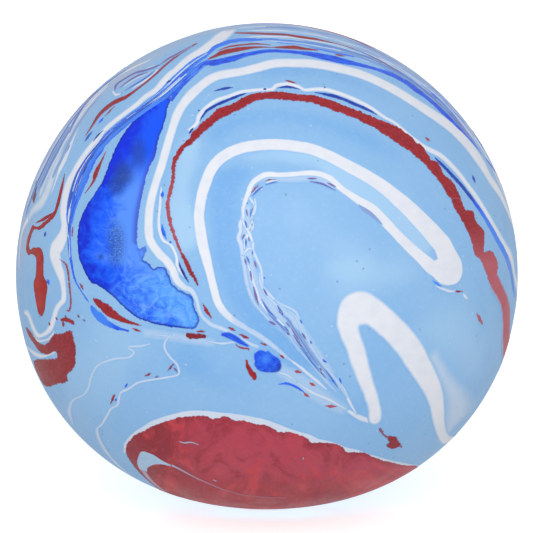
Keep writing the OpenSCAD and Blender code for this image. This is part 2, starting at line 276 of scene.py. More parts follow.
def side_seen(turn):
    """The directions towards the eye, to its right and up, for one side of the ball."""
    c, s = math.cos(turn), math.sin(turn)
    return {"Towards": (s * math.cos(view_tilt), -c * math.cos(view_tilt), math.sin(view_tilt)),
            "Right": (c, s, 0), "Up": (-s * math.sin(view_tilt), c * math.sin(view_tilt), math.cos(view_tilt))}


def wash_at(points, washes):
    """How strongly broad washes along drawn lines reach points of the ball."""
    total = np.zeros(len(points))
    for turn, (strength, wide, drawn) in ((turn, wash) for turn, side in washes.items() for wash in side):
        seen = side_seen(math.radians(turn))
        tilt = np.array([seen["Right"], seen["Up"], seen["Towards"]])
        keys = np.array(drawn) / 100
        keys = np.column_stack([keys, np.sqrt(1 - np.sum(keys**2, 1))]) @ tilt * ball_r + middle
        wide *= ball_r / 100
        low, high = keys.min(0) - WASH_REACH * wide, keys.max(0) + WASH_REACH * wide
        close = np.flatnonzero(np.all((points > low) & (points < high), axis=1))
        spots, off = points[close], np.full(len(close), 1.0)
        for a, b in zip(keys, keys[1:]):
            t = np.clip((spots - a) @ (b - a) / np.sum((b - a) ** 2), 0, 1)
            off = np.minimum(off, np.linalg.norm(spots - a - t[:, None] * (b - a), axis=1))
        total[close] += strength * np.exp(-((off / wide) ** 2))
    return total


def give_wash(mesh):
    """Stores the washes and the painted grey shade and sheen of the outline on a mesh, for every rubber that shows
    the skin's own blue.
    """
    spots = np.empty(len(mesh.vertices) * 3)
    mesh.vertices.foreach_get("co", spots)
    for label, washes in (("wash", WASHES), ("painted_edge_grey", PAINTED_EDGE_GREYS)):
        values = wash_at(spots.reshape(-1, 3), washes).astype(np.float32)
        mesh.attributes.new(label, "FLOAT", "POINT").data.foreach_set("value", values)


give_wash(skin.data)
settle(skin, "base_rubber", "skin")

# Gel filling
# The soft clear gel that fills the skin and makes the ball slump and spring back slowly.
# It is poured in through the hole at the back and sets round the head of the plug.
GEL_RINGS, GEL_SPOKES = 60, 96
head_r, head_t, gel_gap = 5.25 * MM, 1.2 * MM, 0.05 * MM
gel_points, gel_pole = shell(GEL_RINGS, GEL_SPOKES, skin_t + gel_gap, head_r + gel_gap)
dent = gel_points[:GEL_SPOKES] - plug_axis * (head_t + gel_gap)
dent_middle = middle + plug_axis * (ball_r - skin_t - head_t - 2 * gel_gap)
dent_first = len(gel_points)
gel_faces = ring_faces(GEL_RINGS, GEL_SPOKES, 0)
gel_faces += fan_faces((GEL_RINGS - 1) * GEL_SPOKES, dent_first + GEL_SPOKES, GEL_SPOKES)
for j in range(GEL_SPOKES):
    k = (j + 1) % GEL_SPOKES
    gel_faces += [(j, k, dent_first + k, dent_first + j),
                  (dent_first + j, dent_first + k, dent_first + GEL_SPOKES + 1)]
clear_gel, gel_tree, gel_shader = new_finish("clear_gel")
gel_where = add(gel_tree, "ShaderNodeTexCoord").outputs["Object"]
bubbles = add(gel_tree, "ShaderNodeTexVoronoi", {"Vector": gel_where, "Scale": 240.0}).outputs["Distance"]
feed(gel_tree, gel_shader, {
    "Base Color": blend(gel_tree, rise(gel_tree, bubbles, 0.25, 0.1), paint(205, 222, 236), paint(245, 250, 252)),
    "Roughness": rise(gel_tree, noise(gel_tree, gel_where, 160), 0.3, 0.7, 0.06, 0.16),
    "Transmission Weight": 0.6})
gel = piece("gel_core", np.concatenate([gel_points, dent, [gel_pole, dent_middle]]), gel_faces, clear_gel)
settle(gel, "gel", "gel_filling")

# Fill plug and its glue
# A mushroom of the same rubber, a shade darker, pressed through the hole from inside and trimmed flush.
# A ring of clear glue fills the gap round its stem and stands a hair proud in an uneven bead.
PLUG_SPOKES = 72
stem_r = 2.7 * MM


def lathe(profile, spokes, closed=False, uneven=None):
    """Turns a profile of (radius, distance from the ball's middle) points round the plug's axis."""
    points, faces, rings = [], [], []
    for radius, far in profile:
        if radius == 0:
            rings.append([len(points)])
            points.append(middle + plug_axis * far)
            continue
        rings.append(list(range(len(points), len(points) + spokes)))
        swell = np.ones(spokes) if uneven is None else uneven(np.arange(spokes) * 2 * math.pi / spokes, far)
        points.extend(middle + plug_axis * far + spokes_round(spokes) * (radius * swell)[:, None])
    for a, b in list(zip(rings, rings[1:])) + ([(rings[-1], rings[0])] if closed else []):
        for j in range(spokes):
            k = (j + 1) % spokes
            if len(a) == 1:
                faces.append((a[0], b[k], b[j]))
            elif len(b) == 1:
                faces.append((a[j], a[k], b[0]))
            else:
                faces.append((a[j], a[k], b[k], b[j]))
    return np.array(points), faces


def cap(radius, sphere):
    return math.sqrt(sphere**2 - radius**2)


under_r, over_r = ball_r - skin_t - head_t, ball_r - skin_t
plug_profile = [(0, under_r)] + [(r * MM, cap(r * MM, under_r)) for r in (1, 2, 3, 4, 4.8)]
plug_profile += [(5.1 * MM, cap(5.1 * MM, under_r) + 0.12 * MM), (5.22 * MM, cap(5.2 * MM, under_r) + 0.4 * MM),
                 (5.22 * MM, cap(5.2 * MM, over_r) - 0.35 * MM), (5.1 * MM, cap(5.1 * MM, over_r) - 0.1 * MM)]
plug_profile += [(r * MM, cap(r * MM, over_r) - 0.02 * MM) for r in (4.8, 4, 3.2)]
plug_profile += [(stem_r, over_r - 0.1 * MM), (stem_r, over_r + 0.4 * MM), (stem_r, ball_r - 0.5 * MM),
                 (stem_r - 0.02 * MM, ball_r - 0.32 * MM), (stem_r - 0.12 * MM, ball_r - 0.2 * MM)]
plug_profile += [(r * MM, cap(r * MM, ball_r) - 0.02 * MM) for r in (2.3, 2, 1.6, 1.2)]
plug_profile += [(0.95 * MM, ball_r - 0.08 * MM), (0.7 * MM, ball_r - 0.22 * MM), (0.4 * MM, ball_r - 0.28 * MM),
                 (0, ball_r - 0.3 * MM)]


def plug_tone(tree):
    spot = add(tree, "ShaderNodeTexCoord").outputs["Object"]
    return blend(tree, rise(tree, noise(tree, spot, 320, 3, 0.6), 0.35, 0.7),
                 paint(100, 158, 220), paint(126, 180, 232))


plug = piece("plug_mushroom", *lathe(plug_profile, PLUG_SPOKES), rubber("plug_blue_rubber", plug_tone))
settle(plug, "plug_rubber", "fill_plug")


def bead(turn, far):
    """The glue spreads unevenly, and only where it stands proud."""
    return 1 + (0.035 * np.sin(3 * turn + 0.6) + 0.025 * np.sin(7 * turn + 2)) * (far > ball_r - 0.2 * MM)


glue_profile = [(r * MM, ball_r + up * MM) for r, up in (
    (2.74, -2.3), (2.98, -2.3), (2.98, -0.4), (3.06, -0.1), (3.22, -0.07), (3.2, -0.01), (3.02, 0.07), (2.86, 0.08),
    (2.66, -0.02), (2.62, -0.09), (2.73, -0.14), (2.74, -0.4))]
glue_finish, glue_tree, glue_shader = new_finish("clear_glue")
cloudy = noise(glue_tree, add(glue_tree, "ShaderNodeTexCoord").outputs["Object"], 900, 3, 0.6)
feed(glue_tree, glue_shader, {
    "Base Color": blend(glue_tree, rise(glue_tree, cloudy, 0.35, 0.65), paint(206, 222, 232), paint(236, 236, 226)),
    "Roughness": rise(glue_tree, cloudy, 0.3, 0.7, 0.12, 0.3), "Transmission Weight": 0.35})
glue = piece("glue_bead", *lathe(glue_profile, PLUG_SPOKES, True, bead), glue_finish)
settle(glue, "glue", "plug_glue")

# White streaks
# Ribbons of white rubber that were folded into the blue and not fully mixed, so their edges are soft.
# They lie flush in the skin, fused into it when it is moulded. All streaks are drawn as they are seen, in
# hundredths of the ball's radius from its middle, and past 100 a line goes on over the edge to the far side.
eye_far = 1.0  # metres from the ball's middle to the photo's eye
streak_depth = 1.2 * MM
STEP, FINE_STEP, CELL = 0.7, 0.36, 1.6  # steps along plain and frayed edges, and between points inside a patch
EDGE_BINS = 180  # places round the ball's outline where its radius is taken
NEAR_EDGE, SMOOTHINGS = 94, 12  # where a line comes near the outline, and how often it is smoothed there
LEAST_SLOPE, MOST_WIDENING, LEAST_FACING = 0.05, 3.5, 1e-3  # limits to the allowance for foreshortening
WIDE_HALF, ACROSS_WIDE, ACROSS_SOFT, ACROSS_PLAIN = 0.8, 7, 5, 3  # half width of a wide line, and points across
LEAST_HALF, LEAST_SIDE, END_TAPER = 0.06, 0.05, 0.12  # the thinnest line, the thinnest side, and a dash's tips
TEARS = ((1, 0.65), (3, 0.35))  # how much finer than the grain each set of tears is, and its share
FRAY_GRAIN, PATCH_FRAY_GRAIN = 0.5, 0.6  # the fray's grain on a line and on a patch
SEED_SHIFT = 7.3  # moves the rubber's pattern along from one line to the next
SOFT_ROWS, ROW_CLEAR, SOFT_CLEAR = (0.5, 1, 1.4), 0.93, 1.6  # rows of points across a patch's soft edge
NO_RUN, WELD = 1e-12, 1e-6  # guards a side of no length, and how near two points become one


def unit(vectors):
    return vectors / np.maximum(np.linalg.norm(vectors, axis=1), TINY)[:, None]


def run_of(points):
    """How far along a line its points lie."""
    return np.concatenate([[0], np.cumsum(np.linalg.norm(np.diff(points, axis=0), axis=1))])


def over_edge():
    """The drawn radius of the ball's outline, and how far round it lies, by the angle in the drawing."""
    seen = outer - middle
    up = seen @ np.array(FRONT["Up"])
    away = seen @ np.array(FRONT["Towards"])
    scale = math.sqrt(eye_far**2 - ball_r**2) / ball_r * 100 / (eye_far - away)
    u, v = seen[:, 0] * scale, up * scale
    angle, radius = np.arctan2(v, u), np.hypot(u, v)
    bins = ((angle + math.pi) / (2 * math.pi) * EDGE_BINS).astype(int) % EDGE_BINS
    rim = np.array([np.flatnonzero(bins == k)[np.argmax(radius[bins == k])] for k in range(EDGE_BINS)])
    round_by = np.arccos(np.clip(away / np.linalg.norm(seen, axis=1), -1, 1))
    return angle[rim], radius[rim], round_by[rim]


FRONT, BACK = side_seen(0), side_seen(math.pi)
RIGHT_SIDE, LEFT_SIDE = side_seen(math.pi / 2), side_seen(-math.pi / 2)
EDGE_ANGLE, EDGE_RADIUS, EDGE_ROUND = over_edge()


def edge_at(points, table):
    return np.interp(np.arctan2(points[:, 1], points[:, 0]), EDGE_ANGLE, table, period=2 * math.pi)


def unroll(points):
    """Drawn points moved out to their true distance round the ball, so that nothing is foreshortened."""
    r, edge, swing = np.linalg.norm(points, axis=1), edge_at(points, EDGE_RADIUS), edge_at(points, EDGE_ROUND)
    far = np.where(r < edge, np.arcsin(np.minimum(r / edge, 1)) * swing / (math.pi / 2),
                   swing + np.radians(r - edge))
    return points * (100 * far / np.maximum(r, TINY))[:, None]


def roll(points):
    """The way back from unrolled points to the drawing."""
    r = np.linalg.norm(points, axis=1) / 100
    edge, swing = edge_at(points, EDGE_RADIUS), edge_at(points, EDGE_ROUND)
    far = np.where(r < swing, edge * np.sin(np.minimum(r / swing, 1) * math.pi / 2), edge + np.degrees(r - swing))
    return points * (far / np.maximum(r * 100, TINY))[:, None]


def to_ball(points):
    """Drawn points as unit vectors to the right, up and towards the eye."""
    flat = unroll(points)
    far = np.linalg.norm(flat, axis=1)[:, None]
    return np.concatenate([unit(flat) * np.sin(far / 100), np.cos(far / 100)], 1)


def to_drawing(spots):
    """The way back from unit vectors to drawn points."""
    return roll(unit(spots[:, :2]) * np.arccos(np.clip(spots[:, 2:], -1, 1)) * 100)


def through(keys, closed=False, step=STEP):
    """Even steps along a smooth line through drawn points."""
    keys = np.array(keys, float)
    count = len(keys)
    parts = []
    for i in range(count if closed else count - 1):
        pick = [(i + k) % count if closed else min(max(i + k, 0), count - 1) for k in (-1, 0, 1, 2)]
        a, b, c, d = keys[pick]
        slope = math.sqrt(max(1 - min(np.hypot(*b[:2]), np.hypot(*c[:2])) ** 2 / 100**2, LEAST_SLOPE))
        steps = max(2, int(np.hypot(*(c - b)[:2]) / step / slope) + 1)
        t = (np.arange(steps) / steps)[:, None]
        bend, twist = 2 * a - 5 * b + 4 * c - d, 3 * b - a - 3 * c + d
        parts.append((2 * b + (c - a) * t + bend * t**2 + twist * t**3) / 2)
    return np.concatenate(parts + ([] if closed else [keys[-1:]]))


def torn(length, grain, rng):
    """Uneven edge along a line, from -1 to 1, with coarse and fine tears."""
    total = 0
    for finer, share in TEARS:
        size = grain / finer
        knots = int(length[-1] / size) + 3
        total = total + share * np.interp(length / size, np.arange(knots), rng.uniform(-1, 1, knots))
    return total


def filled(keys):
    """Drawn points with a half width each: a point that gives none keeps that of the point before it."""
    made = []
    for u, v, *more in keys:
        made.append((u, v, *(more or made[-1][2:])))
    return made


def line(keys, tint=0.0, ragged=0.12, grain=1.8, fray=0.0, spread=0.0, seed=1):
    """Flat ribbon along points [right, up, half width] or [right, up, half width, tint]."""
    path = through([(*k, tint) if len(k) == 3 else k for k in filled(keys)], step=FINE_STEP if fray else STEP)
    rng = np.random.default_rng(seed)
    place, half = path[:, :2], np.maximum(path[:, 2], LEAST_HALF)
    seat = to_ball(place)
    by_edge = (np.linalg.norm(place, axis=1) > NEAR_EDGE)[1:-1, None]
    for _ in range(SMOOTHINGS):
        seat[1:-1] = np.where(by_edge, (seat[:-2] + 2 * seat[1:-1] + seat[2:]) / 4, seat[1:-1])
    seat = unit(seat)
    left = np.cross(seat, unit(np.gradient(seat, axis=0)))
    outward = np.sum(left_of(place) * place, 1) ** 2 / np.maximum(np.sum(place**2, 1), TINY)
    widen = np.sqrt(outward * np.clip(1 / np.maximum(seat[:, 2], LEAST_FACING), 1, MOST_WIDENING) ** 2
                    + 1 - outward)
    length = run_of(place)
    across = np.linspace(-1, 1, ACROSS_WIDE if half.max() > WIDE_HALF else ACROSS_SOFT if spread else ACROSS_PLAIN)
    sides = []
    for _ in ("left", "right"):
        tears = half * ragged * torn(length, grain, rng) + fray * torn(length, FRAY_GRAIN, rng)
        sides.append(np.maximum(half + tears / widen, LEAST_SIDE))
    edge = np.where(across[None, :] > 0, sides[0][:, None], sides[1][:, None])
    offset = across * (edge + spread)
    swing = (offset * widen[:, None] / 100)[..., None]
    points = to_drawing((seat[:, None] * np.cos(swing) + left[:, None] * np.sin(swing)).reshape(-1, 3))
    rows, cols = offset.shape
    grid = np.arange(rows * cols).reshape(rows, cols)
    faces = np.stack([grid[:-1, :-1], grid[1:, :-1], grid[1:, 1:], grid[:-1, 1:]], -1).reshape(-1, 4).tolist()
    inside = edge - np.abs(offset)
    if spread:
        inside = np.minimum(inside, (np.minimum(length, length[-1] - length) - spread)[:, None]) / spread
    return {"points": points, "faces": faces, "tint": np.repeat(path[:, 3], cols), "inside": inside.ravel(),
            "drawn": np.stack([np.repeat(length, cols), offset.ravel(), np.full(rows * cols, seed * SEED_SHIFT)],
                              1)}


def left_of(place):
    """Unit vectors to the left of a line's run."""
    ahead = unit(np.gradient(place, axis=0))
    return np.stack([-ahead[:, 1], ahead[:, 0]], 1)


def banks(keys):
    """The left and right edges of a ribbon, for joining ribbons into one patch."""
    path = through(filled(keys))
    reach_out = left_of(path[:, :2]) * path[:, 2:3]
    return path[:, :2] + reach_out, path[:, :2] - reach_out


def dash(points, half, tint=0.0, **options):
    """Short stroke of one width that tapers at both ends."""
    widths = [half] * len(points)
    widths[0] = widths[-1] = half * END_TAPER
    keys = [(u, v, w) for (u, v), w in zip(points, widths)]
    if len(keys) == 2:
        keys.insert(1, ((keys[0][0] + keys[1][0]) / 2, (keys[0][1] + keys[1][1]) / 2, half))
    return line(keys, tint, **options)


def dashes(seed, strokes, **options):
    """Short strokes given as [points, half width, tint], each with a seed of its own."""
    return [dash(points, half, tint, seed=seed + i, **options) for i, (points, half, tint) in enumerate(strokes)]


def area(outline, tint=0.0, ragged=0.25, grain=1.6, fray=0.0, spread=0.0, seed=1, smooth=True, flow=(1, 1)):
    """Flat patch inside an outline of [right, up] points, which is made smooth unless it is already."""
    step = FINE_STEP if fray else STEP
    edge = unroll(through(outline, True, step) if smooth else np.array(outline))
    if np.sum(edge[:, 0] * np.roll(edge[:, 1], -1) - edge[:, 1] * np.roll(edge[:, 0], -1)) < 0:
        edge = edge[::-1]
    rng = np.random.default_rng(seed)
    ahead = unit(np.roll(edge, -1, 0) - np.roll(edge, 1, 0))
    out = np.stack([ahead[:, 1], -ahead[:, 0]], 1)
    length = run_of(edge)
    tears = ragged * torn(length, grain, rng) + fray * torn(length, PATCH_FRAY_GRAIN, rng)
    edge = edge + out * (spread + tears)[:, None]
    low, high = edge.min(0), edge.max(0)
    u, v = np.meshgrid(np.arange(low[0], high[0], CELL), np.arange(low[1], high[1], CELL))
    u[1::2] += CELL / 2
    spots = np.stack([u.ravel(), v.ravel()], 1)
    a, b = edge, np.roll(edge, -1, 0)

    def off_edge(p):
        run = b - a
        t = np.clip(np.sum((p[:, None] - a) * run, -1) / np.maximum(np.sum(run**2, -1), NO_RUN), 0, 1)
        return np.min(np.linalg.norm(p[:, None] - a - run * t[..., None], axis=-1), axis=1)

    crosses = (a[:, 1] > spots[:, None, 1]) != (b[:, 1] > spots[:, None, 1])
    lift = np.where(crosses, b[:, 1] - a[:, 1], 1)
    hits = crosses & (spots[:, None, 0] < a[:, 0] + (spots[:, None, 1] - a[:, 1]) / lift * (b[:, 0] - a[:, 0]))
    spots = spots[hits.sum(1) % 2 == 1]
    spots = spots[off_edge(spots) > max(CELL / 2, spread * SOFT_CLEAR)] if len(spots) else spots
    for deep in [spread * share for share in SOFT_ROWS] if spread else []:
        row = (edge - out * deep)[::2]
        spots = np.concatenate([spots, row[off_edge(row) > deep * ROW_CLEAR]])
    knots, _, triangles, *_ = delaunay_2d_cdt([Vector(p) for p in np.concatenate([edge, spots])], [],
                                              [list(range(len(edge)))], 1, WELD)
    flat = np.array([tuple(p) for p in knots])
    faces = []
    for f in triangles:
        p, q, r = flat[f[0]], flat[f[1]], flat[f[2]]
        turn = (q[0] - p[0]) * (r[1] - p[1]) - (q[1] - p[1]) * (r[0] - p[0])
        faces.append(list(f) if turn > 0 else list(f)[::-1])
    points = roll(flat)
    tints = tint(points) if callable(tint) else np.full(len(points), tint)
    return {"points": points, "faces": faces, "inside": (off_edge(flat) - spread) / (spread or 1), "tint": tints,
            "drawn": np.column_stack([points * flow, np.zeros(len(points))])}


# The tree that lays a flat drawing on the ball: it casts each point from the eye on to the skin, the far side
# from behind, and leaves it a hair proud
inlay = bpy.data.node_groups.new("laid_in_skin", "GeometryNodeTree")
for label, kind in (("Drawing", "Geometry"), ("Skin", "Object"), ("Middle", "Vector"), ("Towards", "Vector"),
                    ("Right", "Vector"), ("Up", "Vector"), ("Eye Far", "Float"), ("Scale", "Float"),
                    ("Proud", "Float"), ("Layer", "Float"), ("Depth", "Float"), ("Rubber", "Material")):
    inlay.interface.new_socket(label, in_out="INPUT", socket_type="NodeSocket" + kind)
inlay.interface.new_socket("Streak", in_out="OUTPUT", socket_type="NodeSocketGeometry")
given = inlay.nodes.new("NodeGroupInput").outputs


def vector(operation, a, b=None, scale=None):
    made = add(inlay, "ShaderNodeVectorMath", {0: a}, operation=operation)
    if b is not None:
        inlay.links.new(b, made.inputs[1])
    if scale is not None:
        inlay.links.new(scale, made.inputs["Scale"])
    return made.outputs["Value" if operation == "LENGTH" else "Vector"]


def choose(kind, test, no, yes):
    return add(inlay, "GeometryNodeSwitch", {"Switch": test, "False": no, "True": yes}, input_type=kind).outputs[0]


spot = add(inlay, "ShaderNodeSeparateXYZ", {0: add(inlay, "GeometryNodeInputPosition").outputs[0]})
flat_spot = add(inlay, "ShaderNodeCombineXYZ", {"X": spot.outputs[0], "Y": spot.outputs[1]}).outputs[0]
from_middle = vector("LENGTH", flat_spot)
edge_far, edge_round, sunk = (
    add(inlay, "GeometryNodeInputNamedAttribute", {"Name": label}, data_type="FLOAT").outputs[0]
    for label in ("edge_far", "edge_round", "sunk"))
past_edge = add(inlay, "FunctionNodeCompare", {0: from_middle, 1: edge_far}, operation="GREATER_THAN").outputs[0]
sideways = vector("ADD", vector("SCALE", given["Right"], scale=spot.outputs[0]),
                  vector("SCALE", given["Up"], scale=spot.outputs[1]))
swing = maths(inlay, "RADIANS", maths(inlay, "SUBTRACT", from_middle, edge_far), 0.0)
swing = maths(inlay, "ADD", edge_round, swing)
outside = vector("ADD", vector("SCALE", given["Towards"], scale=maths(inlay, "COSINE", swing, 0.0)),
                 vector("SCALE", vector("NORMALIZE", sideways), scale=maths(inlay, "SINE", swing, 0.0)))
seen_by = choose("VECTOR", past_edge,
                 vector("SUBTRACT", vector("SCALE", sideways, scale=given["Scale"]), given["Towards"]),
                 vector("SCALE", outside, scale=times(inlay, given["Scale"], -100.0)))
start = vector("ADD", given["Middle"], vector("SCALE", choose("VECTOR", past_edge, given["Towards"], outside),
                                              scale=given["Eye Far"]))
skin_mesh = add(inlay, "GeometryNodeObjectInfo", {"Object": given["Skin"]}).outputs["Geometry"]
ray = add(inlay, "GeometryNodeRaycast", {"Target Geometry": skin_mesh, "Source Position": start,
          "Ray Direction": seen_by, "Ray Length": 10.0})
by_skin = vector("ADD", start, vector("SCALE", seen_by, scale=given["Eye Far"]))
nearest = add(inlay, "GeometryNodeProximity", {"Geometry": skin_mesh, "Sample Position": by_skin},
              target_element="FACES")
found = choose("VECTOR", ray.outputs["Is Hit"], nearest.outputs["Position"], ray.outputs["Hit Position"])
outward = vector("NORMALIZE", vector("SUBTRACT", found, given["Middle"]))
stand = maths(inlay, "ADD", given["Proud"], times(inlay, spot.outputs[2], given["Layer"]))
stand = maths(inlay, "SUBTRACT", stand, times(inlay, sunk, given["Depth"]))
laid = add(inlay, "GeometryNodeSetPosition", {"Geometry": given["Drawing"],
           "Position": vector("ADD", found, vector("SCALE", outward, scale=stand))})
real = add(inlay, "GeometryNodeRealizeInstances", {0: laid.outputs[0]})
dyed = add(inlay, "GeometryNodeSetMaterial", {"Geometry": real.outputs[0], "Material": given["Rubber"]})
add(inlay, "NodeGroupOutput", {0: dyed.outputs[0]})
INLAY_SOCKETS = {s.name: s.identifier for s in inlay.interface.items_tree if s.in_out == "INPUT"}
# How far the colours stand proud, and the steps between strokes of one piece that cross
SMEAR, WHITE, BLUE, RED, FLECK = 0.012 * MM, 0.022 * MM, 0.032 * MM, 0.042 * MM, 0.052 * MM
LAYER, LAYERS = 0.002 * MM, 4
SHARP_EDGE = 0.7


def let_in(name, strokes, colour, *nodes, seen=FRONT):
    """Lays flat strokes on the ball as slabs with a face, an underside and walls, as one piece of one colour,
    which is given as [rubber, how far it stands proud, slot]."""
    finish, proud, slot = colour
    mesh = bpy.data.meshes.new(name)
    points, faces = [], []
    for i, s in enumerate(strokes):
        top = len(points)
        under = top + len(s["points"])
        points += [(u, v, i % LAYERS) for u, v in s["points"]] * 2
        sides = {(f[k - 1], f[k]) for f in s["faces"] for k in range(len(f))}
        faces += [[k + top for k in f] for f in s["faces"]] + [[k + under for k in f[::-1]] for f in s["faces"]]
        faces += [(b + top, a + top, a + under, b + under) for a, b in sorted(sides) if (b, a) not in sides]
    mesh.from_pydata(points, [], faces)
    carry = {label: np.concatenate([np.concatenate([s[label]] * 2) for s in strokes])
             for label in ("inside", "tint", "drawn")}
    carry["sunk"] = np.concatenate([np.repeat([0, 1], len(s["points"])) for s in strokes])
    flat = np.array(points)[:, :2]
    carry["edge_far"], carry["edge_round"] = edge_at(flat, EDGE_RADIUS), edge_at(flat, EDGE_ROUND)
    for label, values in carry.items():
        kind, field = ("FLOAT_VECTOR", "vector") if values.ndim > 1 else ("FLOAT", "value")
        mesh.attributes.new(label, kind, "POINT").data.foreach_set(field, values.astype(np.float32).ravel())
    drawing = new_object(name + "_drawing", mesh)
    lay = drawing.modifiers.new("laid", "NODES")
    lay.node_group = inlay
    for label, value in {"Skin": skin, "Middle": tuple(middle), **seen, "Eye Far": eye_far,
                         "Scale": ball_r / math.sqrt(eye_far**2 - ball_r**2) / 100, "Proud": proud,
                         "Layer": LAYER, "Depth": streak_depth, "Rubber": finish}.items():
        lay[INLAY_SOCKETS[label]] = value
    whole = bpy.data.meshes.new_from_object(drawing.evaluated_get(bpy.context.evaluated_depsgraph_get()))
    bpy.data.objects.remove(drawing)
    whole.name = name
    whole.polygons.foreach_set("use_smooth", [True] * len(whole.polygons))
    whole.set_sharp_from_angle(angle=SHARP_EDGE)
    give_wash(whole)
    settle(new_object(name, whole), slot, *nodes)


def carried(tree, label):
    """A value that a streak's mesh carries along."""
    made = add(tree, "ShaderNodeAttribute", attribute_name=label)
    return made.outputs["Vector" if label == "drawn" else "Fac"]


def stepped(tree, label, *ends):
    """A smooth step over a carried value."""
    return rise(tree, carried(tree, label), *ends)


def grained(tree, *settings):
    """Noise over the streak's own drawing."""
    return noise(tree, carried(tree, "drawn"), *settings)


def stretched(tree, along, across):
    """The streak's own run, squeezed so that a pattern draws out along it."""
    return add(tree, "ShaderNodeMapping", {"Vector": carried(tree, "drawn"),
                                           "Scale": (along, across, 1)}).outputs[0]


def over_base(tree, tone, share=1.0):
    """A streak's colour that thins out into the skin's blue across its soft edge."""
    cover = times(tree, stepped(tree, "inside", -1.0, 0.4), share)
    return blend(tree, cover, base_tone(tree), tone)


def white_tone(tree):
    body = grained(tree, 0.2, 3, 0.5)
    white = blend(tree, rise(tree, body, 0.3, 0.7), paint(224, 229, 240), paint(232, 234, 242))
    return over_base(tree, white, maths(tree, "SUBTRACT", 1.0, carried(tree, "tint")))


white_rubber = rubber("white_rubber", white_tone)
in_white, smeared_white = (white_rubber, WHITE, "white_rubber"), (white_rubber, SMEAR, "white_rubber")
soft = {"spread": 0.6, "ragged": 0.1, "grain": 3}
let_in("white_ribbon_outer", [line([
    (115, -17, 0.2), (110.5, -8, 0.9), (106.5, 2, 1), (101.5, 12, 0.8), (97, 23, 0.6), (93, 32, 0.7), (89, 38, 0.8),
    (86, 43.5, 1.2), (83, 48, 1.4), (79, 53), (74, 58), (68, 62.5), (62, 66.5), (55, 71), (48, 75), (40, 78.7),
    (33, 81), (20, 83.7), (10, 84.2), (3, 84), (-3, 82.5), (-10, 80.8), (-18, 79.5), (-23, 77.5), (-28, 73.5),
    (-32, 69.5), (-35, 65), (-37, 60, 1.3), (-38.5, 55), (-40, 50), (-42, 43), (-44, 37), (-46, 30), (-47, 22, 1.4),
    (-46.5, 14), (-43, 8.5), (-40, 5.5, 1.3), (-37.5, 2, 1.2), (-36, -2, 1.1, 0.1), (-33, -5, 0.85, 0.25),
    (-30, -6.5, 0.65, 0.3), (-28, -10, 0.45, 0.35), (-27, -14, 0.4, 0.4), (-25.5, -17, 0.35, 0.45),
    (-22, -20, 0.5, 0.45), (-18, -21.5, 0.45, 0.4), (-15, -23, 0.4, 0.4), (-8, -27, 0.35, 0.4),
    (-3, -29, 0.2, 0.4)], seed=11, **soft)], in_white, "white_outer_ribbon")
let_in("white_line_arch", [line([
    (-31.5, 57, 0.3), (-28, 60, 0.45), (-27, 63, 0.5), (-24, 66.5), (-20, 69.3, 0.45), (-15, 71, 0.4), (-10, 72.7),
    (-2, 73.6, 0.35), (2, 73.7, 0.4), (4, 75.3, 0.45), (8, 75.8), (12, 75, 0.4), (15, 73.5, 0.35), (19, 73.7, 0.45),
    (24, 73.5, 0.5), (31, 71.3), (37, 68.7), (42, 66, 0.4), (47, 62.5, 0.3), (51, 60.3), (58, 54.5),
    (62.5, 51, 0.45), (65, 49.5, 0.6), (69, 47.5), (73, 44), (77, 39.5, 0.55), (80, 35.5, 0.5), (84, 30),
    (88, 23.5, 0.45), (92, 16.5, 0.4), (95, 11), (97.5, 6), (99.5, -4), (104, -16, 0.6), (108, -30, 0.7),
    (110, -44, 0.5), (114, -54, 0.15)], seed=12, **soft)], in_white, "white_arch_line")
leg_out, leg_in = banks([
    (9, -34, 0.3), (2, -28, 0.7), (-3, -24.5, 0.8), (-8, -21.5), (-13, -18.5, 1), (-17, -15, 1.2),
    (-19.5, -11, 1.3), (-21, -6), (-22.5, 0, 1.4), (-24, 6, 1.7), (-25.5, 12, 1.9), (-26.5, 18), (-27, 24, 1.8),
    (-26, 31, 1.9), (-24.5, 36, 2), (-22, 42), (-18, 46.5), (-13, 49.3), (-7, 51), (0, 51.7), (6, 51.7), (12, 51),
    (18, 49.8), (24, 47.5), (30, 44.5, 2.1), (40, 39, 2.2), (47, 34.4, 2.4), (54, 28.5, 2.8), (60, 22.8, 3.1),
    (65.5, 17, 3.4), (69.8, 12, 3.6)])
back_out, back_in = banks([
    (65, 3.4, 2.6), (60, 8, 2), (54, 13.7, 1.8), (48, 20, 1.7), (42, 26, 1.8), (36, 29.8, 1.3), (30, 34, 1),
    (25, 38.3), (20, 40.2, 0.9), (15, 40.3, 0.8), (10, 39.8), (5, 39.6), (0, 39.8, 0.9), (-3, 38.5), (-6, 36, 0.8),
    (-7.6, 32, 0.7), (-9, 28, 0.6), (-9.5, 25.5, 0.5), (-9.3, 23), (-10.6, 20, 0.6), (-10.4, 17.5, 0.5),
    (-11.2, 14.5, 0.6), (-10, 11), (-9.7, 7, 0.5), (-8.8, 2), (-8, -3), (-6.5, -8), (-4.5, -12, 0.4),
    (-1, -16, 0.25), (2, -19.5, 0.1)])
tip = [(75, 9.5), (77, 6), (77.8, 2.5), (77.3, -1), (75.5, -3.3), (72, -4.2), (69, -3.4)]


def thinned(points):
    """The inner hairpin thins out down its inner leg and at its foot."""
    u, v = points.T
    inner_leg = np.clip((34 - v) / 30, 0, 1) * ((u > -13.5) & (u < 8))
    return 0.5 * np.maximum(inner_leg, np.clip((-12 - v) / 14, 0, 1))


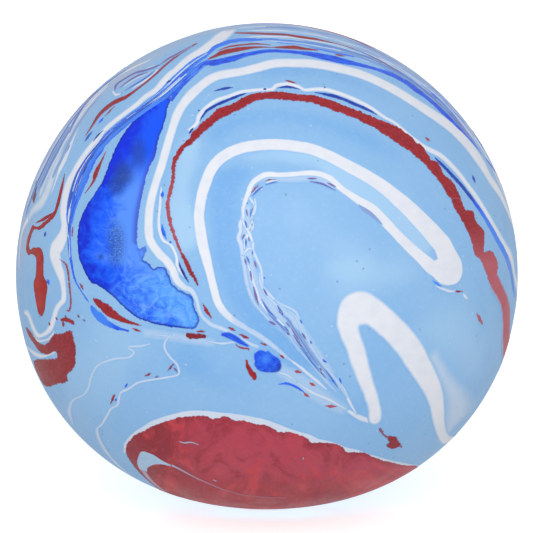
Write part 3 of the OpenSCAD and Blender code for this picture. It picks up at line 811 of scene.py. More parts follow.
hairpin = np.concatenate([leg_out, through(tip), back_out, back_in[::-1], [(68.2, 6.3)], leg_in[::-1]])
let_in("white_hairpin_inner", [area(hairpin, thinned, ragged=0.12, grain=3, spread=0.5, seed=13, smooth=False)],
       in_white, "white_inner_hairpin")
let_in("white_hairpin_lower", [
    line([(43, -58.8, 0.7), (40, -58), (36, -56.5, 0.6), (32, -54, 0.3)], 0.15, seed=15, **soft),
    area([(41.2, -58), (41, -54), (39.5, -49), (37, -43), (34.6, -37), (32.3, -30), (29.7, -24), (28.5, -20),
          (29, -14), (31, -10), (35, -7.5), (39, -7.5), (44, -10), (50, -15), (55, -20), (60, -26), (64, -33),
          (67.5, -40.5), (69.7, -47), (70.4, -54), (70.6, -60), (72, -64), (74.5, -64.8), (76, -62.7),
          (76.2, -63.5), (74.2, -66.2), (70, -66.8), (67, -60.3), (65.7, -54.2), (64, -48.8), (61, -43.5),
          (57, -38), (53, -32), (48, -26), (44, -22.5), (40, -19.5), (37.5, -19.5), (36, -21), (37, -25),
          (38.7, -30), (40.4, -37), (42, -43), (43.9, -49), (45, -54), (44.8, -58), (43, -59.3)], seed=14,
         spread=1.2, ragged=0.2, grain=3)], in_white, "white_lower_hairpin")
let_in("white_line_left", [line([
    (-14, 97.8, 0.4), (-16.7, 96, 0.9), (-20, 93, 1.1), (-25, 89.5), (-30, 86.5, 1), (-35, 82), (-38, 80, 0.9),
    (-41, 77), (-44, 73.5), (-48, 71, 0.7), (-52, 67.5, 0.65), (-56, 64.5, 0.6), (-60, 61.5), (-64, 58),
    (-67, 54.5, 0.65), (-70, 51, 0.7), (-73, 47, 0.8), (-76, 42, 0.9), (-79, 36, 1), (-80.5, 30), (-81, 25),
    (-80.5, 20), (-81, 16, 1.5), (-82.6, 12.5, 1.9), (-84.3, 9, 2), (-83.4, 4, 1.5), (-82, 0, 1), (-81, -5, 0.75),
    (-81, -10, 0.65), (-83.5, -13.5, 0.55), (-86, -21), (-89, -24, 0.45), (-91.5, -24, 0.4), (-93.5, -20, 0.35),
    (-95, -16, 0.3), (-97, -15, 0.15)], seed=16, **soft)], in_white, "white_left_line")
RIM_OVERLAP = 1.3  # how far the white rim runs on under the red lobe, whose upper edge this is
LOBE_EDGE = [
    (-56, -69), (-55, -66.5), (-52.5, -64), (-49, -62.5), (-46, -60.5), (-42, -59), (-38, -57.8), (-34, -56.8),
    (-25, -56.3), (-21, -57.5), (-17, -56.5), (-13, -58), (-9, -58.2), (-5, -59.5), (-1, -60), (3, -61.5),
    (5, -62.8), (9, -62.7), (12, -63.6), (16, -65.2), (18, -67), (22, -66.9), (27, -67.5), (30, -68.8), (32, -70.8),
    (38, -70.9), (42, -72.5), (46, -74), (50, -75), (55, -76), (60, -76.3)]
let_in("white_rim_lobe", [area([
    (-56.9, -71), (-56.8, -68), (-55.6, -65.8), (-52.8, -63), (-50.3, -61.4), (-47, -59.1), (-44.1, -57.8),
    (-40, -56.4), (-36.2, -55.4), (-32, -54.6), (-28.2, -54.3), (-23, -54.6), (-17.8, -55.2), (-13, -55.6),
    (-8.3, -56.3), (-3.5, -57.3), (1.3, -58.5), (5, -59.9), (9.2, -61.6), (13, -62.8), (17.2, -64), (20.4, -65.5),
    (25.2, -66.7), (28.5, -67.7), (31.6, -69), (35.5, -69.8), (41.1, -71.7), (49.1, -74), (57.1, -75.6),
    (61, -76.2), *((u, v - RIM_OVERLAP) for u, v in LOBE_EDGE[::-1])], 0.25, seed=17, ragged=0.15, grain=2,
    spread=0.4)], in_white, "white_lobe_rim")

# White threads and pale smears
# Thin drawn-out threads of the same white rubber, and places where it has mixed almost wholly into the blue.
# They wander round the ribbons and over the lower left, and one braid hangs beside the inner hairpin.
STATIONS, LAST_START, WANDER = 40, 36, 0.12  # points along a strand, the last it may start at, and its wobble
LANE, THINNING = (0.2, 0.8), (0.5, 1)  # where in its lane a strand runs, and its share of the half width
SEEDS_APART = 50


def strands(near_bank, far_bank, count, half, seed, share=(0.05, 0.95), cut=0.5, tints=(0, 0), span=(0, 1),
            **options):
    """Thin strokes of random length that run side by side between two drawn lines, over a span of their run."""
    rng = np.random.default_rng(seed)
    banks_at = []
    for bank in (near_bank, far_bank):
        path = through(bank)
        length = run_of(path)
        steps = np.linspace(0, length[-1], STATIONS)
        banks_at.append(np.column_stack([np.interp(steps, length, path[:, k]) for k in (0, 1)]))
    made = []
    for k in range(count):
        along = share[0] + (share[1] - share[0]) * (k + rng.uniform(*LANE)) / count
        first, last = (np.array(span) + rng.uniform(0, cut, 2) * (span[1] - span[0]) * (1, -1)) * (STATIONS - 1)
        first = min(first, LAST_START)
        first, last = int(first), int(max(last, first + 2))
        keys = (banks_at[0] * (1 - along) + banks_at[1] * along)[first:last + 1:2]
        keys = keys + rng.uniform(-WANDER, WANDER, keys.shape)
        made.append(dash([tuple(p) for p in keys], rng.uniform(*THINNING) * half, rng.uniform(*tints),
                         seed=seed * SEEDS_APART + k, **options))
    return made


thin = {"spread": 0.3, "ragged": 0.3, "grain": 2}
cluster = ([(-24, 88.5), (-31, 84), (-36, 79.5), (-43, 72.5), (-50, 67), (-57.8, 61.2), (-64.5, 55.5),
            (-69.1, 50.2), (-73.8, 44.2), (-77.1, 38.3), (-78.7, 32.3), (-79.7, 26.3), (-79.7, 21), (-79.5, 15),
            (-79, 8), (-78, 1)],
           [(-22, 84.5), (-28, 79.8), (-33, 75.5), (-39, 70.5), (-47, 65.5), (-57.8, 57.5), (-63.1, 52.2),
            (-67.1, 47.6), (-70.4, 40.9), (-71.8, 35), (-73.8, 30.3), (-75.7, 26.3), (-77.1, 21), (-77.8, 15),
            (-77.5, 8), (-76.8, 1)])
crown = ([(-22, 87), (-10, 90.5), (2, 91.3), (16, 90), (28, 88), (40, 84.6), (54, 78.2), (66, 69.2), (78, 57.8),
          (86, 46)],
         [(-16, 98), (-8, 99.2), (6, 99.3), (18, 97.9), (30, 95), (44, 89.4), (58, 81.1), (70, 71.2), (81, 58.3),
          (90, 43)])
limb = ([(-50, 82.5), (-58, 77), (-66, 70.5), (-73, 61.5), (-77, 54), (-81, 45), (-85, 37), (-89, 29.5),
         (-93.5, 24)],
        [(-50, 86.3), (-59, 80.5), (-68, 73), (-76, 64.5), (-82, 56.5), (-88, 46.5), (-92.5, 37), (-95.5, 28.5),
         (-97.5, 21)])
let_in("white_threads", dashes(20, (
    ([(-42, 35), (-42.5, 28), (-43, 20), (-41.5, 14), (-38, 11.5), (-36, 7), (-35.5, 3), (-33, -1)], 0.4, 0.05),
    ([(-45.9, 85.7), (-57.8, 80), (-64.5, 74.8), (-71.1, 68.5), (-74.4, 63.8), (-77.1, 59.5), (-80.4, 52.9)],
      0.4, 0.15),
    ([(-81.1, 52.9), (-84.4, 46.2), (-87, 39.6), (-89.4, 34.3), (-90.4, 30.3)], 0.5, 0.35),
    ([(-53.8, 73.8), (-49.2, 76.8), (-45.2, 79.4), (-43.5, 81.8)], 0.3, 0.1),
    ([(-61.2, 72.8), (-59.4, 76), (-54.5, 79.2), (-49.2, 81.2), (-45, 82.9), (-42.6, 82.4)], 0.16, 0.2),
    ([(-57, 74.6), (-53.5, 77.2), (-49.5, 79.2), (-46.2, 80.4)], 0.12, 0.35),
    ([(-61.2, 73.5), (-61, 72.2), (-59.8, 71.5), (-58, 72)], 0.25, 0.2),
    ([(-38, -23.5), (-40.5, -27), (-40.5, -30), (-38.5, -33), (-36, -35.5), (-35, -38), (-35.5, -40), (-40, -41),
      (-46, -42), (-51, -43), (-55, -45.5), (-58, -47), (-59, -50), (-59.5, -52), (-62, -53.5), (-63.5, -56),
      (-65.5, -59.5), (-67.5, -61.5), (-67, -65), (-65, -69), (-62, -73), (-58, -77), (-54, -80)], 0.28, 0.42),
    ([(-46, -27.5), (-50, -28.5), (-55, -29), (-53, -31), (-55, -33), (-60, -33.5), (-65, -35), (-68, -37),
      (-70, -41), (-71, -45), (-73, -48), (-77, -50), (-78.5, -53), (-78.5, -56), (-77, -60)], 0.25, 0.55),
    ([(-24, -26.5), (-18, -27.5), (-12, -27), (-7, -29)], 0.25, 0.4),
    ([(-46, -24), (-40, -24.5), (-34, -26)], 0.25, 0.5),
    ([(8, -33), (14, -37.5), (20, -42.5), (24, -46)], 0.4, 0.25),
    ([(12, -43), (18, -47), (25, -50), (32, -54)], 0.4, 0.3), ([(4, -39), (8, -40), (12, -43)], 0.3, 0.4),
    ([(16, -27), (20, -33), (25, -39), (30, -45), (33, -51), (36, -56)], 0.4, 0.25),
    ([(67, -4.5), (72, -6.5), (75, -6.8)], 0.4, 0.25), ([(78, -7.5), (80, -10)], 0.35, 0.25),
    ([(-8, 97.1), (9, 97.1), (17, 96), (27, 93.7), (36, 90.4), (50, 84.1), (60, 77.3), (70, 69.3), (78, 60.3),
      (83, 53)], 0.42, 0.25),
    ([(72, 68.5), (80, 58.7), (86, 49.5), (90, 42), (94, 33), (98, 22)], 0.6, 0.35),
    ([(-96, -28.3), (-92.5, -31.5), (-89, -32.6), (-86, -31.6), (-84, -31)], 0.3, 0.1),
    ([(-94, -24.2), (-92, -25.8), (-90, -26.5), (-86.5, -25.5), (-84.5, -22.5)], 0.3, 0.2)), **thin)
    + [line([(-60, 78.5, 0.1), (-66, 73.5, 0.3), (-71.1, 68.2, 0.5), (-74.4, 62.2, 0.6), (-77.1, 55.5, 0.65),
             (-80.4, 46.2, 0.7), (-83.7, 39.6), (-85.7, 34.3, 0.65), (-88.4, 29.6, 0.6), (-92.3, 25.7, 0.45),
             (-95.7, 21, 0.35), (-97.7, 15.7, 0.3), (-98.5, 8, 0.22), (-98.7, 2, 0.1)], 0.05, seed=49, **thin),
       line([(-81.5, 52, 0.2), (-84.3, 43, 0.6), (-86.8, 35, 0.9), (-89.5, 29, 0.8), (-93, 25.5, 0.3),
             (-95, 22, 0.1)], 0.3, seed=48, spread=0.8, ragged=0.3, grain=1.5)]
    + strands(*crown, 6, 0.28, 22, (0.4, 0.95), tints=(0, 0.35), **thin)
    + strands(*limb, 5, 0.35, 23, tints=(0, 0.4), **thin), in_white)
let_in("pale_smears", [
    line([(65, -30, 0.2), (71, -41, 0.8), (75, -49, 1.8), (76, -56, 2), (75, -62, 0.8)], 0.52, seed=40, spread=3.2,
         ragged=0.2),
    line([(-8, 29, 0.6), (-8.2, 22, 1.2), (-8.5, 15), (-7.4, 6, 1.4), (-6, -2, 1.6), (-3.5, -9, 2.3),
          (2, -14.5, 3.4), (9, -20, 3.6), (14, -26, 2.8), (20, -33, 1.6), (26, -41, 1)], 0.66, seed=41, spread=1.4,
          ragged=0.3, grain=3),
    line([(-6, 37, 0.6), (-2, 38.5, 0.8), (8, 38.2), (20, 38.2), (27, 35, 0.6)], 0.7, seed=42, spread=1.2),
    line([(2, -36, 0.8), (12, -42, 2.4), (22, -49, 2), (32, -55, 0.8)], 0.75, seed=43, spread=2, ragged=0.3,
         grain=3),
    line([(-50, -23, 0.6), (-40, -24.5, 1), (-30, -26), (-20, -27.5, 0.6)], 0.7, seed=44, spread=1.6)],
    smeared_white)

# Royal-blue streaks
# Streaks of strongly coloured blue rubber beside the white ones, from navy slivers to a bright band at the crown.
# They are fused flush into the skin, and their edges are torn where the rubber was pulled.


def blue_tone(tree):
    bright = stepped(tree, "tint", 0.0, 0.5)
    greyed = stepped(tree, "tint", 0.5, 1.0)
    navy = stepped(tree, "tint", -1.0, 0.0)
    run = rise(tree, noise(tree, stretched(tree, 0.25, 1.4), 1.0, 3, 0.6), 0.3, 0.7)
    royal = blend(tree, run, paint(6, 62, 220), paint(30, 108, 250))
    tone = blend(tree, navy, paint(16, 30, 112), royal)
    tone = blend(tree, bright, tone, paint(62, 136, 250))
    return over_base(tree, blend(tree, greyed, tone, paint(122, 152, 212)))


blue_rubber = rubber("royal_blue_rubber", blue_tone)
in_blue = (blue_rubber, BLUE, "blue_rubber")
torn_blue = {"ragged": 0.35, "grain": 1.4, "fray": 0.16}
let_in("blue_band_top", [
    line([(-29, 81.2, 0.4), (-25.8, 83.7, 0.8), (-22.9, 84.3, 1), (-20.1, 84.5, 1.2), (-14.4, 85.7),
          (-9.8, 87.1, 0.9), (-5.8, 88, 0.75), (0, 89, 0.65), (5.5, 89, 0.6), (11.2, 88.5, 0.65), (15.8, 88, 0.8),
          (20.3, 87.2, 1.1), (25.2, 86.2, 1.2), (30.8, 84.9, 1), (37.1, 83.5, 0.7), (42.7, 82, 0.55),
          (49.1, 79.8, 0.7), (54.7, 77.1, 0.9), (59.4, 73.8, 1), (65, 69.7, 0.9), (69.8, 65, 0.75),
          (74.6, 60.3, 0.6), (79.4, 55.5, 0.4), (84, 50, 0.2)], -0.12, seed=51, **torn_blue),
    line([(-25.2, 86, 0.4), (-21.2, 90, 0.6), (-17.2, 92, 0.7), (-12.7, 93.1), (-8.1, 93.5), (-3, 93.4, 0.6),
          (2.1, 93.4), (6.7, 92.6), (12.4, 92.2), (16.9, 91.2), (21.5, 89.9), (27.2, 88.7), (37.1, 86.4, 0.5),
          (43.5, 84.3), (51.5, 80.9, 0.45), (58.6, 77, 0.4), (66.6, 71.4), (73, 64.9, 0.3), (79, 57.5, 0.2)], 0.3,
          seed=52, **torn_blue),
    dash([(6, 93.1), (14, 93), (20, 91.6), (26, 90)], 0.3, 0.25, seed=58, **torn_blue),
    dash([(-5, 98.1), (5.5, 98.2), (14.7, 97.6), (19.8, 96.5), (27.2, 95.1), (37, 91.7), (48, 86.5), (58, 80.2)],
         0.4, 0.85, seed=53, **torn_blue)]
    + strands(*crown, 6, 0.3, 54, (0, 0.5), 0.6, (0, 0.5), (0.4, 1), fray=0.1)
    + strands(*crown, 3, 0.28, 55, (0.6, 0.95), tints=(0.7, 1), fray=0.08), in_blue, "blue_top_band")
let_in("blue_line_arch", [
    line([(67, 46.5, 0.2), (70, 43.5, 0.5), (74, 39.3, 0.6), (77, 36), (81, 31, 0.55), (85, 25.5, 0.6, 0.2),
          (89, 19, 0.65, 0.4), (92, 13.5, 0.65, 0.5), (95, 8, 0.6, 0.6), (97, 2, 0.55, 0.7), (98, -4, 0.35, 0.7),
          (98.7, -9, 0.1, 0.6)], -0.55, seed=56, **torn_blue)] + dashes(57, (
        ([(-31, 56), (-29.2, 58.5)], 0.5, -0.6),
        ([(-26.8, 61), (-24, 65), (-20, 67.5), (-15, 69.6), (-11, 71.2), (-8, 72.2)], 0.5, -0.6),
        ([(-1.5, 73.8), (0, 73.8)], 0.4, -0.6), ([(4, 74.2), (8, 74.7), (13.5, 73.7)], 0.45, -0.6),
        ([(19, 72.5), (25, 71.4), (30, 69.9), (35, 67.8), (40, 65.7), (44, 63.5)], 0.55, -0.6)), **torn_blue),
    in_blue, "blue_arch_line")
let_in("blue_streak_left", [
    line([(-45, 69, 0.3), (-48, 66.9, 0.6), (-52.5, 62.8, 0.8), (-58.5, 57.9, 0.9), (-64.1, 52.9, 1.1),
          (-67.6, 48.4, 1.3), (-70, 45, 1.5), (-71.8, 40.8, 1.7), (-73.9, 36, 1.6), (-75.7, 31.2, 1.4),
          (-77.3, 25.7, 1), (-78.5, 20, 0.7), (-78.8, 15.3, 0.6), (-78.3, 8, 0.5), (-77.6, 3, 0.4), (-77, 0, 0.3),
          (-76, -3, 0.25), (-74, -6.5, 0.2), (-71, -11)], 0.12, seed=61, **torn_blue),
    line([(-38, 69, 0.4), (-36, 72.5, 0.7), (-32.5, 77, 0.8), (-28, 81, 0.7), (-26, 83, 0.4)], 0, seed=62,
         **torn_blue)]
    + strands(*cluster, 14, 0.5, 63, cut=0.8, tints=(-0.05, 0.45), fray=0.14)
    + strands(*cluster, 16, 0.5, 60, (0, 1), 0.8, (-0.05, 0.45), (0, 0.55), fray=0.2)
    + strands(*cluster, 10, 0.28, 64, (0.05, 0.7), cut=0.97, tints=(-0.8, -0.3), fray=0.12),
    in_blue, "blue_left_streak")
# White flecks that lie among the blue strands, and a painted shade of greyed blue along the left outline
let_in("white_flecks_left", strands(*cluster, 11, 0.2, 68, (0, 0.5), 0.98, (0, 0.4), spread=0.12, fray=0.08)
       + strands(*cluster, 8, 0.16, 70, (0.05, 0.5), 0.98, (0.1, 0.5), (0, 0.5), spread=0.12, fray=0.08)
       + strands(*crown, 9, 0.12, 71, (0, 0.7), 0.9, (0.2, 0.6), spread=0.12, fray=0.06)
       + [dash([(-64, 57.3), (-70, 48.5), (-74.5, 40.5), (-77.3, 33)], 0.3, 0, seed=69, spread=0.15, fray=0.1)],
       (white_rubber, RED, "white_rubber"))
# Painted shade: greyed blue laid along the left outline, where the ball turns away from the eye
let_in("blue_haze_limb", [line([
    (-74, 64, 0.3), (-80, 56, 0.8), (-85, 48.5, 1.2), (-88.5, 42.5), (-91, 37, 0.8), (-93.5, 30, 0.3)], 0.9,
    seed=59, spread=1.6, ragged=0.3)], (blue_rubber, SMEAR, "blue_rubber"))
let_in("blue_sliver_pool", [line([
    (-70, -12.5, 0.4, 0.3), (-68.6, -15, 1.2, 0.4), (-66, -17.5, 1.5, 0.4), (-62.6, -19.8, 1.1, 0.3),
    (-58.5, -21.6, 0.6, -0.1), (-55, -22.6, 0.35, -0.3)], seed=65, **torn_blue)], in_blue, "blue_pool_sliver")
let_in("blue_drop_low", [
    area([(-4.3, -31), (-2.6, -30.2), (-0.6, -30.9), (0.7, -30.4), (2, -31.8), (4, -33), (5.4, -34.8), (5.6, -37),
          (4.2, -38.6), (1.6, -39), (-1.4, -38.8), (-3.7, -37.6), (-4.7, -35.6), (-4.9, -33)],
         lambda p: 0.5 - np.hypot(p[:, 0] + 0.4, p[:, 1] + 33.6) / 6.5, seed=66, spread=0.5, fray=0.25,
         flow=(2, 0.5)),
    line([(-18.5, -23.8, 0.4), (-15.5, -24.2, 0.9), (-13, -25.3, 1), (-10.5, -26.8, 0.7), (-7, -28.8, 0.2)], -0.2,
         seed=67, spread=0.5)], in_blue, "blue_spot")

# Blue pool
# The broadest patch of royal-blue rubber, on the left: deep at its outer rim, brighter inside, and thinned out
# to a paler blue with drawn-out wisps at its lower right end. It is fused flush into the skin.


def near(tree, u, v, wide, high):
    """How near a point of the drawing is to a place, from 0 to 1."""
    off = add(tree, "ShaderNodeMapping", {"Vector": carried(tree, "drawn"), "Location": (-u / wide, -v / high, 0),
                                          "Scale": (1 / wide, 1 / high, 1)}).outputs[0]
    return rise(tree, add(tree, "ShaderNodeVectorMath", {0: off}, operation="LENGTH").outputs["Value"], 1.0, 0.2)


POOL_LEFT = [(-36, 74), (-37, 71), (-42, 70), (-46, 67.5), (-50, 64), (-54, 60), (-57, 56), (-60, 51), (-62, 46),
             (-64, 41), (-66, 36), (-70, 30), (-73, 25), (-75, 19), (-75.3, 12), (-74.5, 6), (-72.5, 1), (-70, -3),
             (-67, -4.5), (-62, -8), (-58, -12), (-54, -15.5), (-50, -18), (-46.5, -19), (-43, -20), (-38, -21),
             (-33, -21.5)]
POOL_RIGHT = [(-29, -21.5), (-27, -19), (-27.5, -16), (-29, -13), (-29.5, -9), (-31, -8), (-34.5, -6.5),
              (-37.5, -4), (-38.5, -1), (-40, 2), (-42, 3), (-45, 2.5), (-46.5, 3.8), (-48, 5.2), (-49.5, 6),
              (-48, 9), (-48.5, 11.5), (-50.5, 10), (-51.5, 12), (-51.5, 18), (-51, 24), (-50, 30), (-49, 35),
              (-47, 42), (-44.5, 47), (-43.5, 52), (-42, 57), (-40, 63), (-39.5, 66), (-38, 70)]


def across_pool(points):
    """0 at the pool's outer bank and 1 at its inner one."""
    left, right = (np.interp(points[:, 1], *np.array(sorted((v, u) for u, v in bank)).T)
                   for bank in (POOL_LEFT, POOL_RIGHT))
    return np.clip((points[:, 0] - left) / np.maximum(right - left, 1), 0, 1)


def pool_tone(tree):
    ways = add(tree, "ShaderNodeSeparateXYZ", {0: carried(tree, "drawn")})
    side, up = ways.outputs[0], ways.outputs[1]
    # Deep at the outer bank and brighter inwards, in swirls, deeper near the top and paler below
    swirl = grained(tree, 0.13, 4, 0.6, 1.5)
    over = maths(tree, "ADD", carried(tree, "tint"), times(tree, maths(tree, "SUBTRACT", swirl, 0.5), 0.9))
    tone = blend(tree, rise(tree, over, 0.0, 0.35), paint(4, 42, 214), paint(14, 94, 254))
    tone = blend(tree, rise(tree, over, 0.25, 0.75), tone, paint(88, 148, 255))
    high = blend(tree, rise(tree, over, 0.1, 0.6), paint(2, 44, 226), paint(14, 88, 252))
    tone = blend(tree, rise(tree, up, 32.0, 50.0), tone, high)
    low = blend(tree, rise(tree, maths(tree, "ADD", swirl, times(tree, carried(tree, "tint"), 0.35)), 0.35, 0.85),
                paint(8, 84, 246), paint(92, 166, 255))
    aslant = maths(tree, "SUBTRACT", up, times(tree, side, 0.35))
    tone = blend(tree, rise(tree, aslant, 22.0, 8.0), tone, low)
    # Pale wisps and darker creases at the lower end
    wisp = grained(tree, 0.1, 2, 0.5, 2.0)
    pale = times(tree, rise(tree, ridge(tree, wisp, 0.55), 0.05, 0.0), rise(tree, up, 14.0, 4.0, 0, 0.2))
    pale = times(tree, pale, rise(tree, side, -64.0, -48.0))
    tone = blend(tree, pale, tone, paint(176, 214, 255))
    crease = times(tree, rise(tree, ridge(tree, wisp, 0.42), 0.04, 0.0), rise(tree, up, 14.0, 4.0, 0, 0.3))
    tone = blend(tree, crease, tone, paint(8, 80, 226))
    # Gritty scuffs of dark pigment at [right, up, half width, half height, where the grit starts, share]
    grit = grained(tree, 1.6, 4, 0.8)
    for u, v, wide, high, low_cut, share in (
            (-60, 12, 5.5, 13, 0.41, 0.85), (-62, 18, 4, 7, 0.5, 0.6), (-51, 48, 5, 9, 0.34, 0.6),
            (-57, 40, 6, 8, 0.32, 0.75), (-60, 35, 5, 6, 0.36, 0.75), (-66, 7, 1.6, 1.6, 0.3, 0.6)):
        scuff = times(tree, near(tree, u, v, wide, high), rise(tree, grit, low_cut, low_cut + 0.16, 0, share))
        tone = blend(tree, scuff, tone, paint(40, 62, 128))
    # A violet edge along the inner bank, and dark rims
    violet = times(tree, stepped(tree, "tint", 0.86, 1.0), rise(tree, up, 6.0, 14.0, 0, 0.8))
    violet = times(tree, violet, rise(tree, up, 60.0, 48.0))
    tone = blend(tree, violet, tone, paint(62, 72, 196))
    frayed = maths(tree, "ADD", carried(tree, "inside"), times(tree, grit, 1.6))
    outer_rim = times(tree, rise(tree, frayed, 1.9, 0.5), stepped(tree, "tint", 0.6, 0.3))
    tone = blend(tree, outer_rim, tone, paint(2, 20, 144))
    by_ends = maths(tree, "MAXIMUM", rise(tree, up, 12.0, 4.0), rise(tree, up, 44.0, 54.0))
    inner_rim = times(tree, stepped(tree, "inside", 1.3, 0.0, 0, 0.85), by_ends)
    return over_base(tree, blend(tree, inner_rim, tone, paint(6, 44, 172)))


let_in("blue_pool_left", [area(POOL_LEFT + POOL_RIGHT, across_pool, seed=70, ragged=0.3, grain=1.3, fray=0.25)],
       (rubber("pool_blue_rubber", pool_tone, sheen=FULL_SHEEN / 2), BLUE, "blue_rubber"), "blue_pool")

# Red streaks
# Streaks, drops and dashes of red rubber, the stiffest of the colours: it tears rather than smears.
# They are fused flush into the skin. Thin places let the blue through and look pinker.


def red_tone(tree):
    run = noise(tree, stretched(tree, 0.5, 1.6), 1.0, 4, 0.65)
    red = blend(tree, rise(tree, run, 0.3, 0.7), paint(134, 16, 28), paint(170, 34, 44))
    red = blend(tree, stepped(tree, "tint", -1.0, 0.0), paint(92, 20, 40), red)
    red = blend(tree, stepped(tree, "tint", 0.0, 1.0), red, paint(206, 112, 128))
    pale = rise(tree, grained(tree, 2.6, 2, 0.5), 0.66, 0.78, 0, 0.5)
    return over_base(tree, blend(tree, pale, red, paint(200, 120, 132)))


red_rubber = rubber("red_rubber", red_tone)
in_red, red_specks = (red_rubber, RED, "red_rubber"), (red_rubber, FLECK, "red_rubber")
torn_red = {"ragged": 0.25, "grain": 1.6, "fray": 0.28}
let_in("red_arch_front", [
    line([(88, 6, 1.2), (90.4, -2, 1.7), (93.2, -7.5, 1.2), (94.8, -12, 1.1), (95.5, -18, 1.2), (95.4, -26, 1.1),
          (95.6, -34, 0.9), (98.5, -43), (102, -52, 0.7), (105, -62, 0.2)], 0.55, seed=83, ragged=0.35, spread=0.6),
    line([(-27.3, -4.3, 0.3, -0.5), (-28.5, -2, 0.6, -0.4), (-30.5, 1.5, 0.8, -0.3), (-32.5, 5.5, 0.7),
          (-34.5, 9.5, 0.6, 0.3), (-36.5, 14.5, 0.6, 0.4), (-38.3, 20, 0.7, 0.4), (-39.3, 26), (-39, 31),
          (-37.3, 38, 0.7, 0.3), (-36.7, 45, 0.8, 0.15), (-33.5, 50.5, 0.9), (-31, 52.5, 1.1), (-27, 57, 1.5),
          (-22, 61.5, 1.6), (-18, 64.3, 2.1), (-13, 66.5, 1.7), (-8, 69.2, 1.6), (-3, 70.8, 1.5), (3, 71.4),
          (9, 70.8), (14, 70.3, 1.4), (20, 69.4, 1.6), (26, 67.3), (32, 65.2), (40, 61.7, 1.8), (44, 60, 1.9),
          (48, 58, 2.4), (52, 55.7, 2.6), (56.5, 52.3), (58.7, 50.3, 1.9), (61, 48.6, 2.5), (64.3, 44.6, 1.5),
          (67, 42.3, 2.4), (69.8, 38.3, 1.5), (72.5, 35, 2.2), (75.2, 31, 1.9), (76, 28.5, 1.5)], seed=81,
         ragged=0.3, grain=2.2, fray=0.42),
    area([(74, 30), (74.5, 27), (78, 21), (81, 14.5), (83, 7.8), (85, 6), (87.2, 1), (88.8, -4), (90.5, -4),
          (92, 3), (91, 7), (89, 9.5), (86.5, 9), (86.5, 13), (86.5, 17), (83.5, 21), (82, 25), (79, 26), (77, 30)],
         lambda p: np.clip((22 - p[:, 1]) / 32, 0, 0.55), seed=82, ragged=0.4, grain=1.4, fray=0.3)],
    in_red, "red_arch")
let_in("red_patch_left", [
    area([(-85, -24), (-82, -23.5), (-78, -22.5), (-77, -26), (-76, -29), (-76.5, -36), (-77.5, -38), (-79.5, -40),
          (-79.5, -42.5), (-83, -43.5), (-88, -44.5), (-91, -40), (-92.5, -36), (-92, -34), (-84.5, -33.5),
          (-83.5, -31.5), (-85, -30.5), (-87, -32), (-90, -31), (-92.5, -28), (-95, -24), (-96, -21), (-94, -23),
          (-91.5, -26.5), (-89, -28), (-87, -27)], -0.2, seed=83, ragged=0.35, fray=0.45, flow=(2, 0.5)),
    line([(-82, -18.3, 0.4), (-80, -18, 0.8), (-77.5, -19, 0.6), (-77, -20, 0.3)], seed=84, **torn_red),
    dash([(-81, -18.5), (-81, -21)], 0.4, seed=85, **torn_red)], in_red, "red_left_patch")


def drop_tone(tree):
    run = grained(tree, 0.3, 3, 0.6)
    red = blend(tree, rise(tree, run, 0.3, 0.7), paint(160, 6, 2), paint(180, 14, 4))
    return blend(tree, stepped(tree, "inside", 0.5, 0.0, 0, 0.5), red, paint(120, 14, 14))


let_in("red_drop_left", [
    area([(-94, 10), (-92, 10.8), (-90, 10.3), (-89, 7), (-89, 0), (-87.5, -4), (-88, -10), (-88.5, -14),
          (-89.5, -16.5), (-91, -15), (-92, -10), (-92.8, -4), (-92, 0), (-92, 7), (-94.5, 8.3)], 0.0, seed=86,
          ragged=0.3),
    dash([(-80.5, 40), (-82, 33), (-83.5, 27), (-85, 23.5), (-88, 20.5), (-91, 18.5), (-93, 18.5), (-94.5, 15),
          (-95.3, 11), (-94.5, 8.7), (-92.5, 8.8)], 0.5, 0.05, seed=87, **torn_red),
    dash([(-84.5, 25), (-88, 22.5), (-92, 20.5)], 0.4, 0.1, seed=88, **torn_red)],
    (rubber("drop_red_rubber", drop_tone), RED, "red_rubber"), "red_left_drop")
let_in("red_streak_shoulder", [line([
    (-72.2, 55.2, 0.1), (-70, 58.6, 0.3), (-67, 63.2, 0.55), (-64, 66.2, 0.75), (-60.5, 68.6), (-56.5, 70.4, 0.65),
    (-52, 73.5, 0.4), (-48, 76.6, 0.35), (-44, 80), (-40, 83.7, 0.3), (-33, 89), (-28, 92, 0.2)], -0.15, seed=89,
    ragged=0.25, fray=0.12)], in_red, "red_shoulder_streak")
let_in("red_dash_pool", [line([
    (-64.1, 48.9, 0.1), (-66.1, 44.6, 0.4), (-67.9, 40.6, 0.85), (-69, 37.2, 0.45), (-70.8, 34.4, 0.2),
    (-72.4, 32.3, 0.1)], seed=90, ragged=0.2, fray=0.12)], in_red, "red_pool_dash")
let_in("red_sliver_pool", [line([
    (-69.2, -9.7, 0.3), (-67.4, -11.2, 1.1), (-65, -13, 1.6), (-61.7, -15.6), (-57.7, -17.9, 1),
    (-53.7, -19.3, 0.5), (-50, -20.4, 0.2)], -0.1, seed=91, **torn_red)], in_red, "red_pool_sliver")
